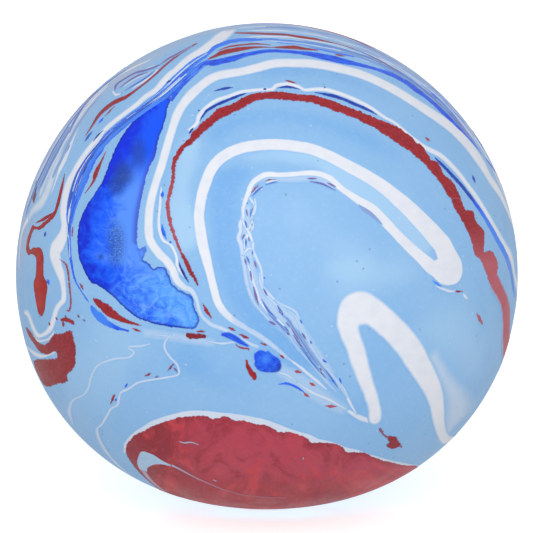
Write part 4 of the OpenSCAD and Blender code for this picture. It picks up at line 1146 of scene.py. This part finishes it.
let_in("red_line_crown", [
    line([(-12.7, 96.2, 0.2), (-5.8, 96.05, 0.35), (0, 95.8, 0.4), (6.7, 95.5), (13.5, 94.5, 0.5),
          (19.8, 93.6, 0.45), (27.2, 92.1, 0.3), (34.7, 89.8, 0.15)], 0.05, seed=92, ragged=0.3, fray=0.1),
    line([(-23.5, 85.6, 0.15), (-20, 87.2, 0.6), (-17.2, 88.4, 0.95), (-12.7, 89.4, 0.9), (-8.1, 90.1, 0.6),
          (-3, 90.5, 0.3), (2.1, 90.4, 0.12), (5.5, 90.4, 0.45), (11.2, 90.4, 0.7), (14.7, 89.9, 0.5),
          (20.3, 89.3, 0.15)], seed=95, ragged=0.25, fray=0.12),
    dash([(-19.5, 89.1), (-14.9, 90.7), (-9.8, 91.4), (-4.7, 91.8), (1.6, 91.4)], 0.28, 0.1, seed=94, fray=0.1),
    dash([(27, 87.6), (31, 86.9)], 0.3, 0.1, seed=97, fray=0.1)], in_red, "red_crown_line")
let_in("red_spot_low", [
    area([(44.6, -61.4), (45.8, -61.6), (46.6, -63.2), (48.3, -64.3), (51.3, -64.7), (52.6, -66.4), (53.8, -68.8),
          (52.2, -68.7), (50.7, -69.5), (48.3, -69.1), (47.6, -68), (48.5, -66.6), (47.3, -65), (45.6, -63.4)],
          -0.3, seed=98, ragged=0.3, fray=0.45, flow=(2, 0.5))], in_red, "red_spot")

# Red lobe
# The broad patch of red rubber at the bottom of the front, which runs on under the ball.
# Its inside is drawn out in darker and lighter runs, and tongues of the blue skin are folded into its left end.


def lobe_tone(tree):
    run = grained(tree, 0.07, 5, 0.62, 1.2)
    ways = add(tree, "ShaderNodeSeparateXYZ", {0: carried(tree, "drawn")})
    side, up = ways.outputs[0], ways.outputs[1]
    # Darker to the left, round the rim and in long runs, with pale veins and specks, and a painted shade towards
    # the bottom where the ball turns under
    red = blend(tree, rise(tree, side, -18.0, -46.0), paint(184, 62, 84), paint(144, 28, 43))
    # Painted shade: deeper, darker red towards the bottom, where the ball turns under
    red = blend(tree, rise(tree, up, -76.0, -87.0, 0, 0.75), red, paint(166, 32, 44))
    rim = rise(tree, maths(tree, "ADD", carried(tree, "inside"), times(tree, run, 4.0)), 6.0, 1.5, 0, 0.7)
    red = blend(tree, rim, red, paint(148, 30, 44))
    red = blend(tree, rise(tree, run, 0.49, 0.36, 0, 0.6), red, paint(146, 30, 48))
    red = blend(tree, rise(tree, run, 0.51, 0.66, 0, 0.75), red, paint(206, 62, 72))
    vein = grained(tree, 0.11, 3, 0.5, 2.5)
    vein = rise(tree, ridge(tree, vein, 0.5), 0.05, 0.0, 0, 0.12)
    red = blend(tree, vein, red, paint(204, 92, 104))
    speck = rise(tree, grained(tree, 2.2, 2, 0.5), 0.72, 0.82, 0, 0.5)
    return over_base(tree, blend(tree, speck, red, paint(214, 150, 160)))


let_in("red_lobe_bottom", [area(LOBE_EDGE + [
    (58, -78.5), (50, -84), (40, -88), (30, -91), (20, -92.7), (10, -93.4), (0, -93.8), (-10, -93.7),
    (-20, -92.6), (-30, -91), (-38, -88.8), (-45, -84), (-49, -80.5), (-52, -77.5), (-54.5, -74), (-56, -71)],
    seed=100, ragged=0.3, fray=0.35)],
    (rubber("lobe_red_rubber", lobe_tone), RED, "red_rubber"), "red_bottom_lobe")


def tongue_tone(tree):
    pale = blend(tree, grained(tree, 0.5), paint(150, 190, 226), paint(190, 210, 232))
    pale = blend(tree, carried(tree, "tint"), pale, paint(184, 104, 122))
    return blend(tree, stepped(tree, "inside", -1.0, 0.5), paint(160, 52, 68), pale)


let_in("blue_tongues_lobe", [
    area([(-51.5, -75), (-50.5, -71.5), (-49, -70.5), (-45, -72), (-41, -74.5), (-36, -76.8), (-39.5, -76),
          (-42, -75.5), (-45, -75.7), (-47.5, -77), (-48, -79.5), (-49.5, -79)], seed=101, ragged=0.2, spread=0.3),
    line([(-38, -75.9, 0.3, 0.2), (-35, -77.3, 0.2, 0.35), (-28, -81, 0.12, 0.55), (-20, -84.5, 0.08, 0.75),
          (-15, -86.3, 0.06, 0.85), (-8, -88, 0.05, 0.95), (0, -88.7, 0.05, 1), (8, -88.8)], seed=102, **thin),
    line([(-49.3, -78, 0.5), (-47.3, -80.7, 0.3), (-44.3, -83.6, 0.2), (-40.2, -86.6, 0.12), (-35, -89, 0.08)],
         0.45, seed=103, **thin),
    dash([(-35, -66.3), (-33, -67), (-30, -66.8), (-27, -67.8)], 0.12, 0.1, seed=104, **thin),
    dash([(14.2, -73.8), (14.8, -72.6)], 0.1, 0.2, seed=105, **thin),
    dash([(-21.5, -81.6), (-19.8, -82.4)], 0.1, 0.2, seed=106, **thin)],
    (rubber("folded_blue_rubber", tongue_tone), FLECK, "base_rubber"))

# Loose flecks
# Short torn-off dashes of red, navy and violet rubber that lie along the streaks and in the braid.
# They are too small to be more than specks of colour in the skin.
let_in("red_flecks", dashes(110, (
    ([(-53.5, -21.5), (-50.2, -22.8)], 0.4, 0), ([(-74.5, -3.5), (-73, -6)], 0.4, 0),
    ([(-28, -22.7), (-24.5, -22.8)], 0.4, -0.3), ([(-25.5, -11.5), (-24, -14.5), (-22, -17.5)], 0.7, 0),
    ([(-15.5, -21), (-12.5, -22.4)], 0.5, 0), ([(-11, -23.8), (-7, -25.5)], 0.5, 0),
    ([(-2.5, -27.3), (0, -28.3)], 0.4, 0), ([(5, -31.8), (7, -33.5)], 0.4, 0),
    ([(-12.5, -28), (-10, -29.3), (-7.5, -29.6), (-7.2, -30.5)], 0.35, 0), ([(11, -38.5), (14, -39)], 0.6, 0.4),
    ([(17, -43), (19.5, -44.5)], 0.6, 0.4), ([(14.5, -47), (17, -49)], 0.6, 0.4),
    ([(23, -52.3), (28, -52.7)], 0.5, 0.4), ([(7.5, 77.3), (12, 76)], 0.4, 0), ([(63, 54.5), (65, 53.2)], 0.4, 0.4),
    ([(75, -6.7), (78, -6.8)], 0.4, 0.1), ([(83.5, -15.5), (86, -20)], 0.5, 0.5),
    ([(-39.5, -38.5), (-37, -35.5)], 0.4, -0.3), ([(-48.5, -40.5), (-46, -39.3)], 0.4, -0.3),
    ([(-62.2, -51.5), (-60.5, -47.7)], 0.5, -0.2),
    ([(-82.5, 6), (-80, 4), (-79, 0), (-78.5, -5), (-78, -10), (-78.5, -14), (-80, -14.5)], 0.3, 0.2),
    ([(-77.3, 19), (-77.5, 15)], 0.3, 0), ([(-92.2, 33), (-92.8, 28.5)], 0.5, -0.6),
    ([(-3.5, 35.4), (-4.6, 34.3), (-6.1, 32.5)], 0.3, 0.1), ([(-0.6, 37.2), (1.2, 37.75), (3.8, 37.75)], 0.25, 0.2),
    ([(-64.5, 63), (-60.5, 67)], 0.2, 0), ([(-84, -17), (-83.4, -18.2)], 0.25, -0.8),
    ([(-80.4, -16.3), (-79.8, -17)], 0.25, -0.8), ([(-75.5, -16.2), (-74.6, -17)], 0.3, -0.5),
    ([(-73.2, -18), (-72.4, -18.6)], 0.2, -0.9), ([(-86.8, -19), (-86.2, -20.4)], 0.3, -0.4)), **torn_red)
    + [line([(-32.2, -24.2, 0.5), (-31.2, -24.3, 0.95), (-28, -24.5, 1), (-25.2, -24.6, 0.9), (-24.2, -24.6, 0.5)],
            -0.5, seed=108, **torn_red),
       line([(-8.2, -34, 0.3), (-7.8, -36, 0.6), (-6.6, -38.5, 1.1), (-5.3, -40.3, 1.3), (-4.6, -42, 0.4)],
            seed=109, **torn_red)], red_specks)
let_in("navy_flecks", dashes(150, (
    ([(-41.5, 33), (-41.7, 30.5)], 0.6, 0.2), ([(-41.7, 20), (-41.2, 17), (-40, 14)], 0.6, 0.1),
    ([(-39, 13), (-38, 12.5)], 0.5, -0.2), ([(-35, 5), (-33.5, 1), (-31, -3.3)], 0.5, -0.7),
    ([(-21, 73), (-17, 74), (-13.5, 74.5)], 0.45, -0.6), ([(-27.3, 65.5), (-26.7, 65)], 0.4, -0.6),
    ([(22.7, 74.7), (23.4, 74.3)], 0.35, -0.6), ([(81.8, 39.5), (83, 36.5)], 0.4, -0.5),
    ([(-88, 17), (-88.5, 15)], 0.4, -0.5), ([(-87.5, -2), (-86.5, -4)], 0.5, 0.1),
    ([(66, -2.5), (69.5, -4.8)], 0.4, 0.4), ([(-72.5, 53), (-69.5, 57)], 0.35, -0.5),
    ([(-67, 60), (-65, 62.5)], 0.35, 0), ([(4.5, -43.8), (8, -43.5), (12, -45), (15, -47)], 0.45, 0.15),
    ([(-56.5, -45), (-55.5, -43.5)], 0.4, 0), ([(-60.3, -50.5), (-59.7, -49.5)], 0.4, 0),
    ([(-91.8, 37), (-92.5, 33), (-93.2, 30)], 0.7, -1), ([(-65, 57.5), (-67.5, 55), (-69, 53)], 0.3, -0.7),
    ([(22.3, -33.8), (24, -35.2)], 0.4, -0.3), ([(25.7, -41.8), (26.9, -42.9)], 0.35, 0.1),
    ([(28.9, -41.2), (29.7, -43.5)], 0.35, 0.1), ([(-1.2, -1), (-0.9, -1.8)], 0.35, 0),
    ([(-57, 62), (-55.5, 61)], 0.35, -0.5), ([(-40, 76.2), (-37.8, 77.4)], 0.45, -0.6)), **torn_blue)
    + strands(*cluster, 12, 0.26, 72, (0.1, 0.55), 0.97, (-0.8, 0.1), (0.2, 0.9), fray=0.12),
    (blue_rubber, FLECK, "blue_rubber"))


def violet_tone(tree):
    tone = blend(tree, stepped(tree, "tint", 0.0, 1.0), paint(74, 112, 200), paint(126, 92, 150))
    return over_base(tree, blend(tree, stepped(tree, "tint", 0.0, -1.0), tone, paint(160, 178, 212)))


in_violet = (rubber("violet_rubber", violet_tone), FLECK, "blue_rubber")
braid = ([(-7.5, 1), (-6, -5), (-3.5, -12), (1, -17.5), (6, -22), (12, -29), (19, -38), (27, -47)],
         [(-2.5, 1), (-1.5, -5), (4, -10.5), (11, -15), (15, -22.5), (20, -32), (26, -40), (31, -48)])
let_in("braid_white", dashes(300, (
    ([(-4.8, 30.5), (-4.6, 27.5), (-4.9, 25), (-6, 22), (-5.6, 19), (-6.9, 16.2), (-5.5, 12.6), (-5.4, 9.5),
      (-3.9, 6), (-2.4, 2.5), (-1.8, -2), (-1.5, -5), (1.8, -8.8), (4.4, -11.2)], 0.36, 0.4),
    ([(3, -10), (6.4, -12.2), (11, -14.5), (12.7, -17.3), (14.9, -22.4), (17.2, -27.6), (20.6, -33.2),
      (25.2, -38.9), (28.6, -43.5), (32, -49.2)], 0.3, 0.55),
    ([(-7.2, 30.8), (-6.2, 29.6), (-4.9, 27.5)], 0.3, 0.3),
    ([(-10.1, 22.3), (-9, 20), (-7.3, 17), (-6.2, 14.5), (-5.5, 12.6)], 0.35, 0.2),
    ([(-5.4, 23.5), (-6.2, 20), (-7.3, 16.8), (-8.6, 13), (-9, 9.8)], 0.35, 0.2),
    ([(-9.7, 7.3), (-8.4, 9.2), (-7, 10.5), (-5.5, 9.6)], 0.3, 0.35),
    ([(-1.6, 33.9), (-3.6, 33.8), (-5.6, 31.4)], 0.3, 0.1), ([(-0.6, 36.4), (2, 37.1), (4.5, 37.3)], 0.25, 0.2),
    ([(-7.6, 4), (-6.3, 0.5), (-5.6, -2), (-4, -6.5), (-2.7, -10.5), (0.7, -15), (4.7, -18.5), (8, -21.5)],
      0.38, 0.2),
    ([(-3, 1), (-2.6, -3), (-0.5, -8), (3, -11.5), (6.5, -16), (9.5, -19), (13, -24.5), (16, -30)], 0.3, 0.5),
    ([(2.4, -20.2), (5.8, -21), (8.5, -24), (12, -29), (15.5, -33), (20, -38), (24, -43), (28, -47)], 0.4, 0.72),
    ([(8, -14), (11.5, -17), (13.6, -21), (15.6, -26)], 0.35, 0.6),
    ([(16, -29), (20, -34.5), (25, -40.5), (30, -46)], 0.8, 0.6)), **thin), (white_rubber, BLUE, "white_rubber"))
let_in("braid_violet", dashes(330, (
    ([(-1.5, 35), (-3.6, 33.5), (-5.9, 31)], 0.35, 0), ([(-0.6, 35.6), (2.1, 36.5), (4.3, 36.9)], 0.22, 0.1),
    ([(-8.6, 21.4), (-7.9, 18.4)], 0.25, 0), ([(-8.3, 14.4), (-8.3, 10.8)], 0.25, 0),
    ([(-8.1, 7.3), (-6.8, 4.2)], 0.26, 0), ([(-5.7, 9.5), (-5.7, 7.7)], 0.2, 0),
    ([(-6.1, 25.9), (-6.6, 22.8)], 0.22, 0.1), ([(-7.8, 28.7), (-7.6, 27.8)], 0.2, 0),
    ([(-2.1, -9.9), (0.7, -14.5), (4.1, -17.9)], 0.33, 0.25), ([(4.1, -12.2), (7, -17.3)], 0.38, 0.2),
    ([(8.1, -18.5), (12.1, -23), (14.4, -26.4)], 0.36, 0.05), ([(17.2, -26.4), (18, -27.6)], 0.25, 0),
    ([(13.2, -17.9), (14.1, -19.6)], 0.22, 0), ([(-8.1, 25.9), (-7.7, 23.2)], 0.22, 0.9),
    ([(-5.7, 26.4), (-5.9, 25.2)], 0.2, 1), ([(-8.8, 16.1), (-9.9, 13.9)], 0.3, 1),
    ([(-7.2, 14.9), (-7, 13)], 0.2, 0.8), ([(-5, 5.5), (-4.1, 2.4)], 0.28, 0.95),
    ([(-8.8, 6.4), (-8.1, 3.7)], 0.22, 0.8), ([(-5.3, -4.8), (-4.4, -8.5), (-3.3, -12.2)], 0.36, 0.95),
    ([(9.2, -20.2), (13.2, -27)], 0.25, 1), ([(0.7, -18.5), (3.6, -20.2)], 0.38, 0.9),
    ([(7.8, -23), (9.2, -24.1)], 0.36, 0.9), ([(4.7, -14.5), (5.8, -15.6)], 0.3, 0.9),
    ([(15.5, -31), (16.4, -31.8)], 0.36, 0.95), ([(20.9, -37.2), (21.8, -38.4)], 0.33, 0.95),
    ([(-1.4, -5.5), (0.3, -8.6)], 0.3, 0.6), ([(-6.6, 1.5), (-6, -2.5)], 0.25, 0.8),
    ([(17, 37), (22, 36), (27.5, 33.3)], 0.3, 0.5), ([(16, 38.2), (20, 38.1)], 0.25, 1),
    ([(24, 36.5), (27.5, 34.8)], 0.25, 1), ([(36.5, 27.6), (41, 24.4), (46, 19.8)], 0.6, -0.6),
    ([(37.5, 26.4), (41, 23.6)], 0.18, 0.8), ([(40, 25.3), (45, 20.3)], 0.18, 0.4),
    ([(-37, -37), (-35.5, -39)], 0.3, 1), ([(-44.5, -41), (-43, -40.5)], 0.3, 0.7),
    ([(-60.5, 73.1), (-59.8, 75.5), (-57.2, 77.4), (-52.5, 80.1), (-47.9, 81.3), (-43.9, 82.8), (-41.6, 83.8)],
      0.25, 0.6),
    ([(-58.8, 74.1), (-55.2, 76.8), (-51.2, 79.1), (-47.2, 80.4)], 0.22, 0.9),
    ([(-56.5, 73.1), (-52.5, 75.5), (-47.9, 78.4), (-44.5, 81.1)], 0.22, 0.1),
    ([(-42.5, 83.4), (-39.2, 85.8), (-36.2, 87.4), (-30, 91)], 0.25, 1), ([(-78.4, 51.5), (-81, 47.6)], 0.35, 0),
    ([(-53.8, 82.8), (-63.1, 76.5), (-70.4, 69.8), (-73.8, 65.5), (-76.5, 61), (-78.6, 56.2)], 0.3, -0.2),
    ([(35, 89.6), (44, 85.5), (54, 79.6), (62, 73.6), (70, 66.6), (77, 59.1), (81, 54)],
      0.2, 0.9)), spread=0.2, fray=0.08)
    + strands(*limb, 3, 0.3, 185, tints=(-1, 0), spread=0.3)
    + strands(*crown, 3, 0.25, 186, (0.5, 1), tints=(-1, 0.3), spread=0.2)
    + strands(*braid, 11, 0.3, 187, (0.1, 0.85), 0.9, (-0.6, 0.9), spread=0.3)
    + strands(*crown, 7, 0.16, 188, (0, 0.5), 0.85, (-0.6, 0.6), spread=0.12), in_violet)

# Streaks on the far side
# More of the same marbling where the photo doesn't reach: ribbons, a hairpin, an arch, a pool and a patch on the
# back, with threads, slivers and flecks drawn out along them, and a few that run on round the two flanks.
RIBBON_BACK = [(-84, 44, 0.1), (-79, 47.7, 0.8), (-70, 54, 1.4), (-52, 62, 1.7), (-32, 66, 1.8), (-10, 64),
               (10, 56, 1.9), (28, 44), (42, 30), (50, 14), (50, -2, 1.8), (42, -16, 1.6), (30, -26, 1),
               (20, -30, 0.5), (12, -31, 0.2)]
HAIRPIN_BACK = [(-64, -40, 0.1), (-63.5, -34, 1), (-62, -26, 1.8), (-54, -12, 2.2), (-42, 0, 2.4), (-28, 9, 2.8),
                (-17, 12, 3), (-11, 6), (-15, -3, 2.6), (-26, -12, 2), (-36, -24, 1.6), (-40, -32.5, 1),
                (-42, -38, 0.1)]
ARCH_BACK = [(-80, 34, 0.5), (-66, 44, 1.6), (-48, 51, 2.2), (-30, 53, 2.6), (-12, 50, 2.2), (4, 42, 1.8),
             (18, 30, 1.4), (28, 16, 0.9), (31, 4, 0.6), (29, -8, 0.3)]
POOL_BACK = [(58, 56), (62, 48), (63, 36), (63.5, 20), (64, 2), (62, -10), (60, -22)]
CROWN_BACK = [(-44, 82), (-20, 86), (0, 86), (18, 81), (34, 73), (48, 63), (58, 52)]


def beside(rows, **options):
    """Strands along drawn streaks, from rows of [streak, how far to each side, and what strands asks for]."""
    made = []
    for streak, off, *rest in rows:
        made += strands(*banks([(u, v, off) for u, v, *_ in streak]), *rest, **options)
    return made


let_in("white_ribbon_back", [line(RIBBON_BACK, seed=200, **soft)], in_white, "white_back_ribbon", seen=BACK)
let_in("white_hairpin_back", [line(HAIRPIN_BACK, seed=201, **soft)], in_white, "white_back_hairpin", seen=BACK)
let_in("red_arch_back", [line(ARCH_BACK, seed=202, **torn_red)], in_red, "red_back_arch", seen=BACK)
let_in("red_patch_back", [area([
    (57, -33), (62, -35), (68, -42), (71, -52), (66, -61), (55, -68), (50, -67), (53, -60), (55, -52), (56, -42)],
    lambda p: np.clip((p[:, 1] + 48) / 60, -0.2, 0.2), seed=203, ragged=0.4, fray=0.45, flow=(2, 0.5))],
    in_red, "red_back_patch", seen=BACK)
let_in("blue_pool_back", [area([
    (61, 53), (66, 47), (73, 42), (79, 30), (83, 16), (80, 2), (72, -10), (64, -18), (65, -8), (66, 2), (65, 16),
    (64, 30), (63, 42)], lambda p: np.clip((77 - p[:, 0]) / 22 - np.sin(p[:, 1] / 5) / 9, -0.25, 0.6), seed=204,
    ragged=0.35, fray=0.3, flow=(2, 0.5))], in_blue, "blue_back_pool", seen=BACK)
let_in("blue_streak_back", [line([
    (-20, 84, 0.6), (0, 83, 2), (18, 78, 2.4), (34, 70, 1.8), (46, 61, 0.8)], seed=205, **torn_blue)],
    in_blue, "blue_back_streak", seen=BACK)
let_in("white_threads_back", beside((
    (ARCH_BACK, 5.5, 4, 0.5, 210, (0, 0.12), 0.35, (0, 0.3)),
    (RIBBON_BACK, 6, 5, 0.35, 211, (0.02, 0.3), 0.6, (0, 0.5)),
    (HAIRPIN_BACK, 6, 5, 0.4, 212, (0.7, 1), 0.5, (0, 0.4)),
    (POOL_BACK, 5, 6, 0.4, 213, (0.35, 1), 0.6, (0, 0.4)),
    (CROWN_BACK, 7, 8, 0.4, 214, (0, 1), 0.5, (0, 0.4))), **thin) + dashes(215, (
        ([(-86, -20), (-76, -34), (-70, -46), (-58, -52), (-50, -62), (-36, -66), (-28, -76), (-12, -80)],
          0.32, 0.2),
        ([(-30, -34), (-20, -38), (-14, -48), (-18, -58), (-8, -64), (6, -62), (18, -68), (34, -66)], 0.32, 0.3),
        ([(14, 22), (4, 14), (6, 4), (16, -4), (18, -14), (8, -20)], 0.32, 0.3),
        ([(86, -8), (80, -24), (76, -40), (78, -54)], 0.32, 0.3)), **thin), in_white, seen=BACK)
let_in("pale_smears_back", [line(k, 0.6, seed=225 + i, spread=1.8, ragged=0.3, grain=3) for i, k in enumerate((
    [(-56, -30, 0.6), (-46, -18, 2), (-34, -8, 2.4), (-22, 2, 1.4)],
    [(30, 52, 0.6), (46, 36, 1.8), (56, 16, 2), (57, -4, 1), (52, -18, 0.5)],
    [(-74, 36, 0.6), (-54, 44, 1.6), (-34, 46, 1.8), (-14, 43, 1), (0, 36, 0.5)],
    [(-20, -46, 0.5), (-10, -58, 1.6), (8, -60, 1)]))], smeared_white, seen=BACK)
let_in("blue_strands_back", beside((
    (RIBBON_BACK, 6.5, 8, 0.5, 230, (0.68, 1), 0.6, (0, 0.45)),
    (ARCH_BACK, 5, 7, 0.5, 231, (0.08, 0.24), 0.85, (-0.8, -0.2)),
    (POOL_BACK, 4.5, 9, 0.5, 232, (0.3, 1), 0.6, (-0.3, 0.4)),
    (CROWN_BACK, 7, 9, 0.45, 233, (0, 1), 0.5, (-0.1, 0.9)),
    (HAIRPIN_BACK, 5, 4, 0.35, 234, (0, 0.2), 0.8, (-0.5, 0.2)))), in_blue, seen=BACK)
let_in("red_flecks_back", beside((
    (CROWN_BACK, 6, 5, 0.5, 240, (0.1, 0.9), 0.8, (0, 0.3)),
    (RIBBON_BACK, 7, 6, 0.5, 241, (0, 0.25), 0.9, (-0.3, 0.3)),
    (HAIRPIN_BACK, 7, 6, 0.5, 242, (0.75, 1), 0.93, (-0.2, 0.4))))
    + beside([(POOL_BACK, 7, 3, 0.8, 243, (0.75, 1), 0.85, (0, 0.1))], fray=0.25), red_specks, seen=BACK)
let_in("violet_strands_back", beside((
    (HAIRPIN_BACK, 6.5, 9, 0.3, 250, (0.7, 1), 0.9, (-0.4, 1)),
    (CROWN_BACK, 8, 6, 0.3, 251, (0, 1), 0.5, (-1, 1))), spread=0.2), in_violet, seen=BACK)
for flank, seen, guide, plain in (
        ("right", RIGHT_SIDE, [(-2, 34), (8, 20), (16, 4), (20, -14), (28, -30), (42, -38), (58, -38)],
         [(4, -40), (18, -50), (34, -56), (52, -64)]),
        ("left", LEFT_SIDE, [(-10, 62), (-20, 46), (-22, 28), (-18, 10), (-22, -8), (-34, -20), (-50, -24)],
         [(-6, -34), (-20, -44), (-36, -50), (-54, -62)])):
    let_in("white_threads_" + flank, beside((
        (guide, 15, 4, 1.1, 260, (0, 1), 0.75, (0, 0.3)), (guide, 10, 6, 0.3, 267, (0, 1), 0.7, (0, 0.4)),
        (plain, 7, 4, 0.35, 261, (0, 1), 0.5, (0.1, 0.5))), **thin), in_white, seen=seen)
    let_in("pale_smears_" + flank, beside([(guide, 7, 3, 2, 262, (0, 1), 0.4, (0.5, 0.7))], spread=1.8),
           smeared_white, seen=seen)
    let_in("blue_strands_" + flank, beside((
        (guide, 13, 4, 1.2, 263, (0, 1), 0.85, (-0.3, 0.5)), (guide, 9, 6, 0.35, 268, (0, 1), 0.8, (-0.5, 0.8)))),
        in_blue, seen=seen)
    let_in("red_flecks_" + flank, beside([(guide, 17, 6, 1, 264, (0, 1), 0.92, (-0.2, 0.3))], fray=0.3)
           + beside([(plain, 6, 4, 0.45, 265, (0, 1), 0.95, (-0.3, 0.2))]), in_red, seen=seen)
    let_in("violet_strands_" + flank, beside([(guide, 12, 7, 0.3, 266, (0, 1), 0.9, (-1, 1))], spread=0.2),
           in_violet, seen=seen)

# Floor and light
# A plain pale floor and even white studio light, with one large soft lamp above the front.
floor_mesh = bpy.data.meshes.new("floor")
floor_half, floor_z = 3, -0.2 * MM
floor_mesh.from_pydata([(x * floor_half, y * floor_half, floor_z) for x, y in ((-1, -1), (1, -1), (1, 1), (-1, 1))],
                       [], [(0, 1, 2, 3)])
floor = new_object("floor", floor_mesh)
floor_finish, floor_tree, floor_shader = new_finish("pale_floor")
feed(floor_tree, floor_shader, {"Base Color": (0.7, 0.7, 0.7, 1), "Roughness": 0.9, "Specular IOR Level": 0.1,
                                "Emission Color": (1, 1, 1, 1), "Emission Strength": 0.66})
floor_mesh.materials.append(floor_finish)
floor.visible_diffuse = floor.visible_glossy = False
world = bpy.data.worlds.new("studio")
world.use_nodes = True
feed(world.node_tree, world.node_tree.nodes["Background"], {"Color": (0.98, 0.99, 1, 1), "Strength": 0.69})
bpy.context.scene.world = world


def aim(made, place, toward):
    """Puts a lamp or a camera in its place and turns it towards something."""
    made.location = place
    made.rotation_euler = Vector(toward).to_track_quat("-Z", "Y").to_euler()


lamp_place = Vector((-0.02, -0.85, 0.52))
lamp = bpy.data.lights.new("key_lamp", "AREA")
lamp.energy, lamp.size = 4.45, 0.8
aim(new_object("key_lamp", lamp), lamp_place, Vector(middle) - lamp_place)
bpy.context.scene.view_settings.view_transform = "Standard"

# Camera
# Level with the photo: a long lens from the front, a little above the ball.
PHOTO_SIDE, PHOTO_BALL_R = 533, 251.0
PHOTO_MIDDLE = (266.8, 274.4)
lens = bpy.data.cameras.new("camera")
lens.sensor_width = 36
lens.lens = PHOTO_BALL_R / (ball_r / math.sqrt(eye_far**2 - ball_r**2)) * lens.sensor_width / PHOTO_SIDE
lens.shift_x = (PHOTO_SIDE / 2 - PHOTO_MIDDLE[0]) / PHOTO_SIDE
lens.shift_y = (PHOTO_MIDDLE[1] - PHOTO_SIDE / 2) / PHOTO_SIDE
camera = new_object("camera", lens)
aim(camera, Vector(middle) + Vector(FRONT["Towards"]) * eye_far, -Vector(FRONT["Towards"]))
bpy.context.scene.camera = camera
